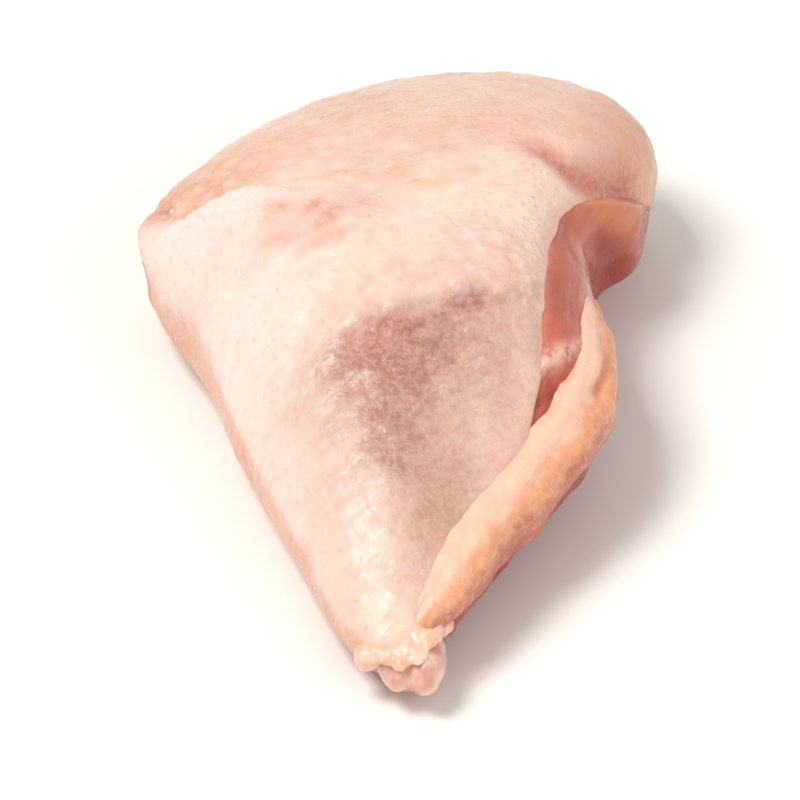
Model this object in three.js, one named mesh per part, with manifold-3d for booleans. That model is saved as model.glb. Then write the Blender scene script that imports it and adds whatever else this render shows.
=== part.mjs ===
// A raw bone-in chicken thigh, skin side up, as it lies on a table.
//
// Millimetres, +Z up. The knee end is the narrow tip at the front (-Y) and the hip end is the broad back (+Y).
// One closed body surface drives everything: the flesh fills it, the skin is a shell that lies over its top
// and tucks under its left, back and front rims, and a fatty roll of skin lies along its right front rim.
import * as THREE from "three";
import Module from "manifold-3d";
import { mergeVertices } from "three/addons/utils/BufferGeometryUtils.js";

const wasm = await Module();
wasm.setup();

// Driving dimensions
const CREST_HEIGHT = 35; // flesh alone, at the highest point of the dome
const CREST_Y = 84;
const TIP_HEIGHT = 12;
const TIP_Y = -34; // where the climb to the crest starts
const BACK_HEIGHT = 30;
const BACK_Y = 150; // where the drop from the crest ends
const SKIN_THICKNESS = 1.9;
const CLEARANCE = 0.35; // left between neighbours that touch in the real thing

// The rim seen from above, going round from the tip along the right side, the back and the left side.
// rim is the height of the widest line there, full is how square the dome is there (2 is an ellipse), and
// edge is where the skin ends on the way from the top (0) over the rim (0.5) to the underside (1).
const RIM = [
  { x: -0.8, y: 1.7, rim: 6.5, full: 2.5, edge: 0.39 }, // tip
  { x: 4.2, y: 8.6, rim: 7, full: 2.5, edge: 0.285 },
  { x: 10.5, y: 21.3, rim: 9, full: 2.4, edge: 0.335 }, // beside the rolled edge
  { x: 20, y: 34.2, rim: 11, full: 2.4, edge: 0.345 },
  { x: 29.3, y: 48.8, rim: 12, full: 2.4, edge: 0.232 },
  { x: 29.3, y: 65, rim: 13, full: 2.5, edge: 0.235 }, // where the sliver of flesh shows
  { x: 27.3, y: 80, rim: 13, full: 2.7, edge: 0.274 }, // notch
  { x: 28.5, y: 90, rim: 13, full: 3, edge: 0.29 },
  { x: 35.8, y: 100.5, rim: 12, full: 3.2, edge: 0.475 }, // knob of flesh
  { x: 40.2, y: 113.8, rim: 12, full: 3, edge: 0.52 },
  { x: 29.8, y: 128, rim: 12, full: 2.8, edge: 0.65 }, // back right
  { x: 6, y: 130.2, rim: 12, full: 2.6, edge: 0.67 },
  { x: -15.8, y: 122, rim: 12, full: 2.4, edge: 0.67 },
  { x: -29.6, y: 108.6, rim: 12, full: 2.3, edge: 0.67 },
  { x: -42.2, y: 94.4, rim: 13, full: 2.3, edge: 0.67 }, // back left
  { x: -28.6, y: 73.5, rim: 13, full: 2.5, edge: 0.68 },
  { x: -23.7, y: 52.9, rim: 12, full: 2.6, edge: 0.68 }, // straight left side
  { x: -14.8, y: 32, rim: 10, full: 2.6, edge: 0.66 },
  { x: -7.2, y: 12, rim: 8, full: 2.5, edge: 0.61 },
];
const MIDDLE = { x: -1, y: 72 };
const UNDERSIDE_FULLNESS = 2.6;
const REST_FLAT = 0.9; // depth of flesh that the floor takes off, for the flat that the thigh rests on

// Relief, in the body's own coordinates: x from the tip's line, y from the tip
const FOLD = { from: [-42, 88], to: [-12, 81.5], height: 2.6, width: 4.5 }; // loose skin at the left
const LIP_CREASE = { from: [20, 91.5], to: [35, 98.5], depth: 1.3, width: 4.2 }; // dimple behind the skin's lip
const PATCH_HOLLOW = { at: [4, 48], size: [17, 20], depth: 1.3 }; // thin place over the dark meat
const KNOB = { at: [33, 96], size: [8, 8], height: 2.4 };
const FLESH_SWELL = 1.0; // flesh stands proud where no skin presses on it
const HIP_HOLLOW = { at: [5, 88], size: [12, 10], depth: 5.2 }; // where the hip joint shows in the underside
const SEAM_GROOVES = [
  { from: [-21, 30], to: [-17, 108], depth: 2.0, width: 4.0 },
  { from: [12, 26], to: [20, 72], depth: 1.8, width: 3.8 },
  { from: [-14, 106], to: [24, 104], depth: 1.6, width: 4.2 },
];

// The rolled edge of skin and fat along the right front. place counts the rim's items, inner and outer are
// how far down the flank it reaches, in the terms of edge above, and high is its thickness there.
const ROLL = [
  { place: 5.7, inner: 0.4, outer: 0.43, high: 0.8 },
  { place: 5.4, inner: 0.385, outer: 0.46, high: 1.8 },
  { place: 5, inner: 0.365, outer: 0.48, high: 3 },
  { place: 4.4, inner: 0.35, outer: 0.49, high: 4.1 },
  { place: 3.7, inner: 0.342, outer: 0.495, high: 4.6 },
  { place: 2.9, inner: 0.338, outer: 0.497, high: 4.6 },
  { place: 2.1, inner: 0.333, outer: 0.495, high: 4.3 },
  { place: 1.4, inner: 0.328, outer: 0.485, high: 3.7 },
  { place: 0.8, inner: 0.325, outer: 0.47, high: 2.9 },
  { place: 0.4, inner: 0.36, outer: 0.45, high: 1.8 },
];
const ROLL_LIFT = 0.8; // how far its middle line stands off the body surface

// The thigh bone: a slim shaft between a two-lobed knee end at the tip and a ball at the hip end
const BONE_AXIS = [
  { at: [1.2, 8, 6.8], radius: 3.8 },
  { at: [0.8, 16, 7.8], radius: 4.1 },
  { at: [0.4, 30, 9.0], radius: 3.8 },
  { at: [1.6, 50, 9.6], radius: 3.7 },
  { at: [4.0, 68, 9.4], radius: 4.0 },
  { at: [6.4, 80, 8.6], radius: 4.5 },
  { at: [7.4, 90, 8.0], radius: 4.2 },
];
const KNUCKLES = [
  { at: [-0.2, 6.6, 6.1], size: [3.0, 6.6, 4.0] }, // inner lobe of the knee
  { at: [3.4, 6.2, 6.3], size: [3.1, 6.8, 4.2] }, // outer lobe of the knee
  { at: [2.2, 87, 6.9], size: [5.8, 5.6, 5.7] }, // hip ball
  { at: [11.0, 86, 8.2], size: [4.8, 6.0, 5.4] }, // hip ridge
];

// Mesh density
const AROUND = 80;
const DOWN_BARE = 15;
const DOWN_SKIN_OUTSIDE = 14;
const DOWN_SKIN_INSIDE = 9;
const ROLL_STEPS = 26;
const ROLL_SIDES = 14;
const BONE_STEPS = 12;
const BONE_SIDES = 12;

// The value that a list's items lead to at a place counted in items, as a smooth curve near them.
function smoothThrough(list, place, pick, closed) {
  const n = list.length;
  const i = Math.floor(place);
  const f = place - i;
  const weights = [
    (1 - f) ** 3 / 6,
    (3 * f ** 3 - 6 * f ** 2 + 4) / 6,
    (-3 * f ** 3 + 3 * f ** 2 + 3 * f + 1) / 6,
    f ** 3 / 6,
  ];
  return weights.reduce((sum, weight, k) => {
    const j = i + k - 1;
    const index = closed ? ((j % n) + n) % n : Math.min(Math.max(j, 0), n - 1);
    return sum + weight * pick(list[index]);
  }, 0);
}

// 0 below low, 1 above high, and smooth to the second derivative between.
function ease(low, high, value) {
  const t = Math.min(Math.max((value - low) / (high - low), 0), 1);
  return t ** 3 * (t * (6 * t - 15) + 10);
}

const bell = (distance, width) => Math.exp(-((distance / width) ** 2));

// How far along a line stretch a point lies, as a share, and how far to its left.
function alongStretch(x, y, { from, to }) {
  const dx = to[0] - from[0];
  const dy = to[1] - from[1];
  const length = Math.hypot(dx, dy);
  const along = ((x - from[0]) * dx + (y - from[1]) * dy) / length ** 2;
  const side = ((y - from[1]) * dx - (x - from[0]) * dy) / length;
  return { along, side };
}

// A round dent or bump's share of its depth at a point.
const spot = (x, y, { at, size }) => bell(Math.hypot((x - at[0]) / size[0], (y - at[1]) / size[1]), 1);

const rimAt = (u, key) => smoothThrough(RIM, u * RIM.length, (p) => p[key], true);
const skinEdge = (u) => rimAt(u, "edge");

// Height of the dome before its edge rounds off: it climbs from the tip to a crest and drops to the back.
function domeHeight(y) {
  const climb = (CREST_HEIGHT - TIP_HEIGHT) * ease(TIP_Y, CREST_Y, y);
  const drop = (CREST_HEIGHT - BACK_HEIGHT) * ease(CREST_Y, BACK_Y, y);
  return TIP_HEIGHT + climb - drop;
}

// A point of the body surface: u goes round the rim from 0 to 1, and w from the top (0) to the underside (1).
function bodyPoint(u, w) {
  const rimZ = rimAt(u, "rim");
  const turn = Math.PI * Math.min(Math.max(w, 0), 1);
  const upper = turn <= Math.PI / 2;
  const power = 2 / (upper ? rimAt(u, "full") : UNDERSIDE_FULLNESS);
  const out = Math.max(Math.sin(turn), 0) ** power;
  const lift = Math.abs(Math.cos(turn)) ** power;
  const x = MIDDLE.x + (rimAt(u, "x") - MIDDLE.x) * out;
  const y = MIDDLE.y + (rimAt(u, "y") - MIDDLE.y) * out;
  const z = upper ? rimZ + (domeHeight(y) - rimZ) * lift : rimZ * (1 - lift) - REST_FLAT * lift;
  return new THREE.Vector3(x, y, z);
}

// The outward direction of the body surface, from two short steps on it.
function bodyNormal(u, w) {
  const step = 0.004;
  const held = Math.min(Math.max(w, 0.02), 0.98);
  const round = bodyPoint(u + step, held).sub(bodyPoint(u - step, held));
  const down = bodyPoint(u, held + step).sub(bodyPoint(u, held - step));
  return down.cross(round).normalize();
}

// How far the skin's outside stands off its plain thickness: a loose fold, a crease and a hollow.
function skinRelief(x, y, w) {
  const fold = alongStretch(x, y, FOLD);
  const foldFade = (1 - ease(0.4, 1.15, fold.along)) * (1 - ease(0.28, 0.5, w));
  const foldBack = 1 - ease(-2.5, 2.5, fold.side);
  const foldRise = FOLD.height * foldFade * foldBack * ease(-5 * FOLD.width, -0.5, fold.side);
  const crease = alongStretch(x, y, LIP_CREASE);
  const creaseFade = ease(-0.35, 0.2, crease.along) * (1 - ease(0.8, 1.35, crease.along));
  const creaseDrop = LIP_CREASE.depth * creaseFade * bell(crease.side, LIP_CREASE.width);
  return foldRise - creaseDrop - PATCH_HOLLOW.depth * spot(x, y, PATCH_HOLLOW);
}

// How far the bare flesh stands off the body surface.
function fleshRelief(u, w, point) {
  const bare = ease(0.02, 0.11, w - skinEdge(u));
  const knob = KNOB.height * spot(point.x, point.y, KNOB) * (1 - ease(0.5, 0.62, w));
  const swell = FLESH_SWELL * (1 - ease(0.56, 0.66, w));
  const under = ease(0.58, 0.7, w);
  const grooves = SEAM_GROOVES.reduce((deepest, groove) => {
    const { along, side } = alongStretch(point.x, point.y, groove);
    const fade = ease(-0.15, 0.15, along) * (1 - ease(0.85, 1.15, along));
    return Math.max(deepest, groove.depth * fade * bell(side, groove.width));
  }, 0);
  const hollow = HIP_HOLLOW.depth * spot(point.x, point.y, HIP_HOLLOW);
  return bare * (swell + knob) - under * Math.max(grooves, hollow);
}

function fleshPoint(u, w, grow) {
  const point = bodyPoint(u, w);
  return point.clone().addScaledVector(bodyNormal(u, w), fleshRelief(u, w, point) + grow);
}

function skinPoint(u, w, off, carved) {
  const point = bodyPoint(u, w);
  const relief = carved ? skinRelief(point.x, point.y, w) * ease(0, 0.05, skinEdge(u) - w) : 0;
  return point.addScaledVector(bodyNormal(u, w), off + relief);
}

// A closed mesh from rings of equal length that run from one pole to another, facing outwards.
// Each four-sided patch is split along its shorter diagonal.
function closedFromRings(first, rings, last) {
  const count = rings[0].length;
  const points = [first, ...rings.flat(), last];
  const index = [];
  const at = (ring, k) => 1 + ring * count + (k % count);
  const apart = (i, j) => points[i].distanceTo(points[j]);
  for (let k = 0; k < count; k++) index.push(0, at(0, k), at(0, k + 1));
  for (let ring = 0; ring + 1 < rings.length; ring++)
    for (let k = 0; k < count; k++) {
      const [a, b, c, d] = [at(ring, k), at(ring, k + 1), at(ring + 1, k + 1), at(ring + 1, k)];
      if (apart(a, c) < apart(b, d)) index.push(a, d, c, a, c, b);
      else index.push(a, d, b, b, d, c);
    }
  const end = points.length - 1;
  for (let k = 0; k < count; k++) index.push(end, at(rings.length - 1, k + 1), at(rings.length - 1, k));
  const geometry = new THREE.BufferGeometry().setFromPoints(points);
  geometry.setIndex(index);
  return geometry;
}

const ringOf = (make) => Array.from({ length: AROUND }, (_, k) => make(k / AROUND));

// The flesh: its rings under the skin are those of the skin's inside, so that the two surfaces run parallel.
function fleshGeometry(grow = 0) {
  const rings = [];
  for (let j = 1; j <= DOWN_SKIN_INSIDE; j++)
    rings.push(ringOf((u) => fleshPoint(u, (skinEdge(u) * j) / DOWN_SKIN_INSIDE, grow)));
  for (let j = 1; j < DOWN_BARE; j++)
    rings.push(ringOf((u) => fleshPoint(u, skinEdge(u) + ((1 - skinEdge(u)) * j) / DOWN_BARE, grow)));
  return closedFromRings(fleshPoint(0, 0, grow), rings, fleshPoint(0, 1, grow));
}

// The skin: outside from the top to the edge, a rounded rim, and back along the inside.
function skinGeometry(grow = 0) {
  const inside = CLEARANCE - grow;
  const outside = CLEARANCE + SKIN_THICKNESS + grow;
  const rings = [];
  for (let j = 1; j <= DOWN_SKIN_OUTSIDE; j++)
    rings.push(ringOf((u) => skinPoint(u, (skinEdge(u) * j) / DOWN_SKIN_OUTSIDE, outside, true)));
  const past = 0.006 + grow * 0.006;
  rings.push(ringOf((u) => skinPoint(u, skinEdge(u) + past, (inside + outside) / 2, false)));
  for (let j = DOWN_SKIN_INSIDE; j >= 1; j--)
    rings.push(ringOf((u) => skinPoint(u, (skinEdge(u) * j) / DOWN_SKIN_INSIDE, inside, false)));
  return closedFromRings(skinPoint(0, 0, outside, true), rings, skinPoint(0, 0, inside, false));
}

// A round-ended bar. station gives, at a place from 0 to last, its centre, its across and up directions
// and its half sizes along them.
function barGeometry(last, steps, sides, station, grow = 0) {
  const rings = [];
  for (let j = 0; j <= steps; j++) {
    const turn = (Math.PI * (j + 0.5)) / (steps + 1);
    const { centre, across, up, wide, high } = station((last * (1 - Math.cos(turn))) / 2);
    const round = Math.min(1, Math.sqrt(Math.sin(turn)) * 1.25);
    rings.push(
      Array.from({ length: sides }, (_, k) => {
        const angle = (2 * Math.PI * k) / sides;
        return centre
          .clone()
          .addScaledVector(across, (wide + grow) * round * Math.cos(angle))
          .addScaledVector(up, (high + grow) * round * Math.sin(angle));
      }),
    );
  }
  const endPoint = (place, inwards) => {
    const end = station(place).centre;
    return end.clone().addScaledVector(end.clone().sub(station(inwards).centre).normalize(), grow);
  };
  return closedFromRings(endPoint(0, 0.1), rings, endPoint(last, last - 0.1));
}

function boneStation(place) {
  const last = BONE_AXIS.length - 1;
  const centreAt = (s) => {
    const along = (axis) => smoothThrough(BONE_AXIS, s, (p) => p.at[axis], false);
    return new THREE.Vector3(along(0), along(1), along(2));
  };
  const ahead = centreAt(Math.min(place + 0.05, last)).sub(centreAt(Math.max(place - 0.05, 0))).normalize();
  const across = new THREE.Vector3().crossVectors(ahead, new THREE.Vector3(0, 0, 1)).normalize();
  const up = new THREE.Vector3().crossVectors(across, ahead);
  const radius = smoothThrough(BONE_AXIS, place, (p) => p.radius, false);
  return { centre: centreAt(place), across, up, wide: radius, high: radius };
}

// The roll lies on the flank: across runs down the flank, and up stands off it.
function rollStation(place) {
  const at = (key) => smoothThrough(ROLL, place, (p) => p[key], false);
  const u = at("place") / RIM.length;
  const middle = (at("inner") + at("outer")) / 2;
  const span = bodyPoint(u, at("outer")).sub(bodyPoint(u, at("inner")));
  const normal = bodyNormal(u, middle);
  const across = span.clone().addScaledVector(normal, -span.dot(normal)).normalize().negate();
  const centre = bodyPoint(u, middle).addScaledVector(normal, ROLL_LIFT);
  return { centre, across, up: normal, wide: span.length() / 2, high: at("high") };
}

function solidOf(geometry) {
  const bare = geometry.clone();
  bare.deleteAttribute("normal");
  bare.deleteAttribute("uv");
  const merged = mergeVertices(bare, 1e-4);
  const vertProperties = new Float32Array(merged.attributes.position.array);
  const triVerts = new Uint32Array(merged.index.array);
  return new wasm.Manifold(new wasm.Mesh({ numProp: 3, vertProperties, triVerts }));
}

function geometryOf(solid) {
  const mesh = solid.getMesh();
  const positions = new Float32Array(mesh.numVert * 3);
  for (let i = 0; i < mesh.numVert; i++) {
    const from = i * mesh.numProp;
    positions.set(mesh.vertProperties.subarray(from, from + 3), i * 3);
  }
  const geometry = new THREE.BufferGeometry();
  geometry.setAttribute("position", new THREE.BufferAttribute(positions, 3));
  geometry.setIndex(new THREE.BufferAttribute(new Uint32Array(mesh.triVerts), 1));
  geometry.computeVertexNormals();
  return geometry;
}

const largestOf = (solid) =>
  solid.decompose().reduce((best, body) => (body.volume() > best.volume() ? body : best));

function ellipsoid({ at, size }, grow) {
  const ball = new THREE.SphereGeometry(1, 14, 10);
  ball.scale(size[0] + grow, size[1] + grow, size[2] + grow);
  ball.translate(...at);
  return solidOf(ball);
}

function boneSolid(grow = 0) {
  const shaft = solidOf(barGeometry(BONE_AXIS.length - 1, BONE_STEPS, BONE_SIDES, boneStation, grow));
  return KNUCKLES.reduce((bone, knuckle) => bone.add(ellipsoid(knuckle, grow)), shaft);
}

function meatSolid() {
  const aboveFloor = solidOf(fleshGeometry()).trimByPlane([0, 0, 1], 0);
  return largestOf(aboveFloor.subtract(boneSolid(CLEARANCE)));
}

function skinSolid() {
  const clear = solidOf(skinGeometry())
    .subtract(solidOf(fleshGeometry(0.8 * CLEARANCE)))
    .subtract(boneSolid(CLEARANCE));
  return largestOf(clear);
}

function rollSolid() {
  const clear = solidOf(barGeometry(ROLL.length - 1, ROLL_STEPS, ROLL_SIDES, rollStation))
    .subtract(solidOf(skinGeometry(CLEARANCE)))
    .subtract(solidOf(fleshGeometry(CLEARANCE)))
    .subtract(boneSolid(CLEARANCE));
  return largestOf(clear);
}

const finish = (color, roughness) => new THREE.MeshStandardMaterial({ color, roughness, metalness: 0 });

const part = new THREE.Group();
function addMesh(name, solid, material) {
  const mesh = new THREE.Mesh(geometryOf(solid), material);
  mesh.name = name;
  part.add(mesh);
}

addMesh("thigh_skin", skinSolid(), finish(0xefc9b2, 0.42));
addMesh("thigh_meat", meatSolid(), finish(0xb5614f, 0.38));
addMesh("skin_roll", rollSolid(), finish(0xf3c396, 0.4));
addMesh("thigh_bone", boneSolid(), finish(0xe9d9d0, 0.35));

// The origin is the middle of the footprint, at the surface that the thigh lies on.
const box = new THREE.Box3().setFromObject(part);
const middle = box.getCenter(new THREE.Vector3());
part.position.set(-middle.x, -middle.y, -box.min.z);

export default part;
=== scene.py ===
"""A raw bone-in chicken thigh, skin side up: skin, bare flesh, a rolled fatty edge and the bone's ends.

Sizes are millimetres in the thigh's own coordinates: x to the right of the tip's line, y from the knee end's tip
to the back, and z up from the surface that the thigh lies on. A mesh is moved into the frame, in metres, as the
last step of making it. One body surface drives all pieces: u goes round its rim from 0 to 1, and w from its top
(0) over the rim (0.5) to the middle of its underside (1).
"""

from __future__ import annotations

import logging
import math
from dataclasses import dataclass, field
from enum import Enum
from typing import Sequence

import bpy
import numpy as np
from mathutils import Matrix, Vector


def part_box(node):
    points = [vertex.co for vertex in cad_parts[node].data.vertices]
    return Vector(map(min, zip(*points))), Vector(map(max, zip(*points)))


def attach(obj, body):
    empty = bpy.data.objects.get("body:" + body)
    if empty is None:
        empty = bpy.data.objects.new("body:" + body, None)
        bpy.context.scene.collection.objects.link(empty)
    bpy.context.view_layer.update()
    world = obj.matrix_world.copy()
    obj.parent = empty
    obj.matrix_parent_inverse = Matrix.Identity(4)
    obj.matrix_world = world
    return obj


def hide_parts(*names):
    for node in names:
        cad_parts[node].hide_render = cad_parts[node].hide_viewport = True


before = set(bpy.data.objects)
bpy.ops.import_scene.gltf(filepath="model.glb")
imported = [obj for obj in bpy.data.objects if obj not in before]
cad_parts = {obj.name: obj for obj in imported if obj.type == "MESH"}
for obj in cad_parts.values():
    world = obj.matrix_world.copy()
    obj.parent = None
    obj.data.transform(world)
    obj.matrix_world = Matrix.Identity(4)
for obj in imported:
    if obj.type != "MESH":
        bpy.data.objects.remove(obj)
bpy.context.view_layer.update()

Array = np.ndarray
MILLIMETRE = 0.001
BODY = "root"
log = logging.getLogger("thigh")


# Shared curves and noise


def ease(low: float, high: float, value: Array) -> Array:
    """0 below low, 1 above high, and smooth to the second derivative between: t cubed times 6t squared - 15t + 10."""
    t = np.clip((value - low) / (high - low), 0.0, 1.0)
    return t**3 * (t * (6 * t - 15) + 10)


def bell(distance: Array, width: float) -> Array:
    """A bell curve: e to the minus square of the distance in widths."""
    return np.exp(-((distance / width) ** 2))


def spline(values: Array, place: Array, closed: bool) -> Array:
    """A smooth curve near a list's values: a uniform cubic B-spline.

    Args:
        values: the list, one row per item.
        place: where to read it, counted in items.
        closed: True if the list goes round, False if its ends hold.

    Returns:
        One row per place.
    """
    step = np.floor(place).astype(int)
    f = place - step
    weights = (
        (1 - f) ** 3 / 6,
        (3 * f**3 - 6 * f**2 + 4) / 6,
        (-3 * f**3 + 3 * f**2 + 3 * f + 1) / 6,
        f**3 / 6,
    )
    last = len(values) - 1
    total = 0.0
    for k, weight in enumerate(weights):
        index = step + k - 1
        index = index % len(values) if closed else np.clip(index, 0, last)
        total = total + (weight[..., None] if values.ndim > 1 else weight) * values[index]
    return total


def unit(vectors: Array) -> Array:
    """The vectors at length 1."""
    return vectors / np.maximum(np.linalg.norm(vectors, axis=-1, keepdims=True), 1e-12)


@dataclass(frozen=True)
class Line:
    """A mark along a bent line on the body seen from above, such as a crease or a fold.

    Attributes:
        through: the points that it runs through, x and y.
        depth: how deep or high it is.
        width: how wide it is to each side.
        fade: the share of its length over which each end dies out.
    """

    through: tuple[tuple[float, float], ...]
    depth: float = 1.0
    width: float = 1.0
    fade: float = 0.2

    def measure(self, points: Array) -> tuple[Array, Array]:
        """How far along it each point lies, as a share that runs on past its ends, and how far to its left.

        The nearest of its straight runs counts. Only the first run reaches back past the start, and only the
        last one on past the end.
        """
        knots = np.array(self.through, float)
        runs = np.diff(knots, axis=0)
        lengths = np.hypot(runs[:, 0], runs[:, 1])
        before = np.concatenate([[0.0], np.cumsum(lengths)])
        along = np.zeros(points.shape[:-1])
        side = np.full(points.shape[:-1], 1e9)
        for k, (run, length) in enumerate(zip(runs, lengths)):
            away = points[..., :2] - knots[k]
            low = -np.inf if k == 0 else 0.0
            high = np.inf if k == len(runs) - 1 else 1.0
            share = np.clip(away @ run / length**2, low, high)
            rest = away - share[..., None] * run
            gap = np.hypot(rest[..., 0], rest[..., 1])
            left = np.sign(away[..., 1] * run[0] - away[..., 0] * run[1])
            nearer = gap < np.abs(side)
            side = np.where(nearer, left * gap, side)
            along = np.where(nearer, (before[k] + share * length) / before[-1], along)
        return along, side

    def ends(self, along: Array) -> Array:
        """1 along it and 0 past its ends, with a soft change."""
        return ease(-self.fade, self.fade, along) * (1 - ease(1 - self.fade, 1 + self.fade, along))

    def ridge(self, points: Array, wander: float = 0.0) -> Array:
        """A rounded ridge of its depth, which fades out at both ends.

        Args:
            points: where to read it.
            wander: how far it strays from its line, and with that comes an uneven height.
        """
        along, side = self.measure(points)
        if wander > 0:
            stray = noise(points, 4.5, 101, 2)
            side = side + wander * stray
            along = along + 0.03 * wander * noise(points, 7.0, 103)
            return self.depth * self.ends(along) * bell(side, self.width) * ease(-0.9, 0.5, noise(points, 3.6, 107, 2))
        return self.depth * self.ends(along) * bell(side, self.width)

    def step(self, points: Array, reach: float) -> Array:
        """A step up to its left, which dies out over a distance."""
        along, side = self.measure(points)
        climb = ease(-self.width, self.width, side) * (1 - ease(self.width, reach, side))
        return self.depth * self.ends(along) * climb


@dataclass(frozen=True)
class Spot:
    """A round or oval mark on the body seen from above.

    Attributes:
        at: its middle, x and y.
        size: its half sizes across and along.
        strength: its height, depth or colour strength.
        turn: how far it is turned anticlockwise, in degrees.
    """

    at: tuple[float, float]
    size: tuple[float, float]
    strength: float = 1.0
    turn: float = 0.0

    def share(self, points: Array) -> Array:
        """Its strength at each point: a bell over the distance in its own half sizes."""
        angle = math.radians(self.turn)
        away = points[..., :2] - np.array(self.at)
        across = away[..., 0] * math.cos(angle) + away[..., 1] * math.sin(angle)
        along = away[..., 1] * math.cos(angle) - away[..., 0] * math.sin(angle)
        return self.strength * bell(np.hypot(across / self.size[0], along / self.size[1]), 1.0)


def scattered(cells: Array, seed: int) -> Array:
    """A repeatable number from 0 to 1 for each whole-number cell, by mixing its coordinates' bits.

    Args:
        cells: whole numbers, one row per cell.
        seed: another seed gives other numbers.
    """
    primes = (374761393, 668265263, 1442695041)
    mixed = np.full(cells.shape[:-1], seed * 2654435761 % 2**32, dtype=np.int64)
    for axis in range(cells.shape[-1]):
        mixed = (mixed + cells[..., axis].astype(np.int64) * primes[axis]) & 0xFFFFFFFF
    mixed = ((mixed ^ (mixed >> 13)) * 1274126177) & 0xFFFFFFFF
    mixed = ((mixed ^ (mixed >> 16)) * 668265263) & 0xFFFFFFFF
    return ((mixed ^ (mixed >> 15)) & 0xFFFFFF) / float(0xFFFFFF)


def noise(points: Array, cell: float | Sequence[float], seed: int, octaves: int = 1) -> Array:
    """Smooth noise from about -1 to 1: values at the corners of cubic cells, eased between them.

    Args:
        points: where to read it, one row of three per point.
        cell: the cell's size, or its three sizes for noise that is drawn out.
        seed: another seed gives another pattern.
        octaves: layers, each at half the size and half the height of the last.
    """
    total, height, reach = 0.0, 1.0, 0.0
    for octave in range(octaves):
        scaled = points / (np.asarray(cell, float) / 2**octave)
        corner = np.floor(scaled).astype(np.int64)
        f = scaled - corner
        f = f**3 * (f * (6 * f - 15) + 10)
        layer = 0.0
        for bits in range(8):
            shift = np.array([bits & 1, bits >> 1 & 1, bits >> 2 & 1])
            weight = np.prod(np.where(shift, f, 1 - f), axis=-1)
            layer = layer + weight * scattered(corner + shift, seed + 31 * octave)
        total = total + height * (2 * layer - 1)
        reach += height
        height *= 0.5
    return total / reach * 1.4


@dataclass(frozen=True)
class BumpField:
    """Bumps scattered on a plane, on a triangular lattice whose places are pushed about.

    Attributes:
        spacing: the mean distance between bumps.
        jitter: how far each is pushed, as a share of the spacing.
        seed: another seed gives another field.
    """

    spacing: float
    jitter: float
    seed: int

    def nearest(self, places: Array) -> tuple[Array, Array]:
        """The distance to the nearest bump's middle, and that bump's own number from 0 to 1."""
        row_height = self.spacing * math.sqrt(0.75)
        row = np.floor(places[:, 1] / row_height)
        best = np.full(len(places), 1e9)
        number = np.zeros(len(places))
        for down in (-1, 0, 1, 2):
            r = row + down
            lean = 0.5 * np.mod(r, 2)
            column = np.floor(places[:, 0] / self.spacing - lean)
            for over in (-1, 0, 1, 2):
                c = column + over
                cell = np.stack([c, r], axis=-1)
                push_x = scattered(cell, self.seed) - 0.5
                push_y = scattered(cell, self.seed + 1) - 0.5
                x = (c + lean + self.jitter * push_x) * self.spacing
                y = r * row_height + self.jitter * push_y * self.spacing
                away = np.hypot(places[:, 0] - x, places[:, 1] - y)
                nearer = away < best
                best = np.where(nearer, away, best)
                number = np.where(nearer, scattered(cell, self.seed + 2), number)
        return best, number


# The body surface that every piece follows


@dataclass(frozen=True)
class RimPoint:
    """A point that the body's rim passes near, seen from above.

    Attributes:
        x: to the right.
        y: from the tip to the back.
        rim: height of the widest line there.
        full: how square the dome is there, where 2 is an ellipse.
        edge: where the skin ends, in terms of w.
    """

    x: float
    y: float
    rim: float
    full: float
    edge: float


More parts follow.
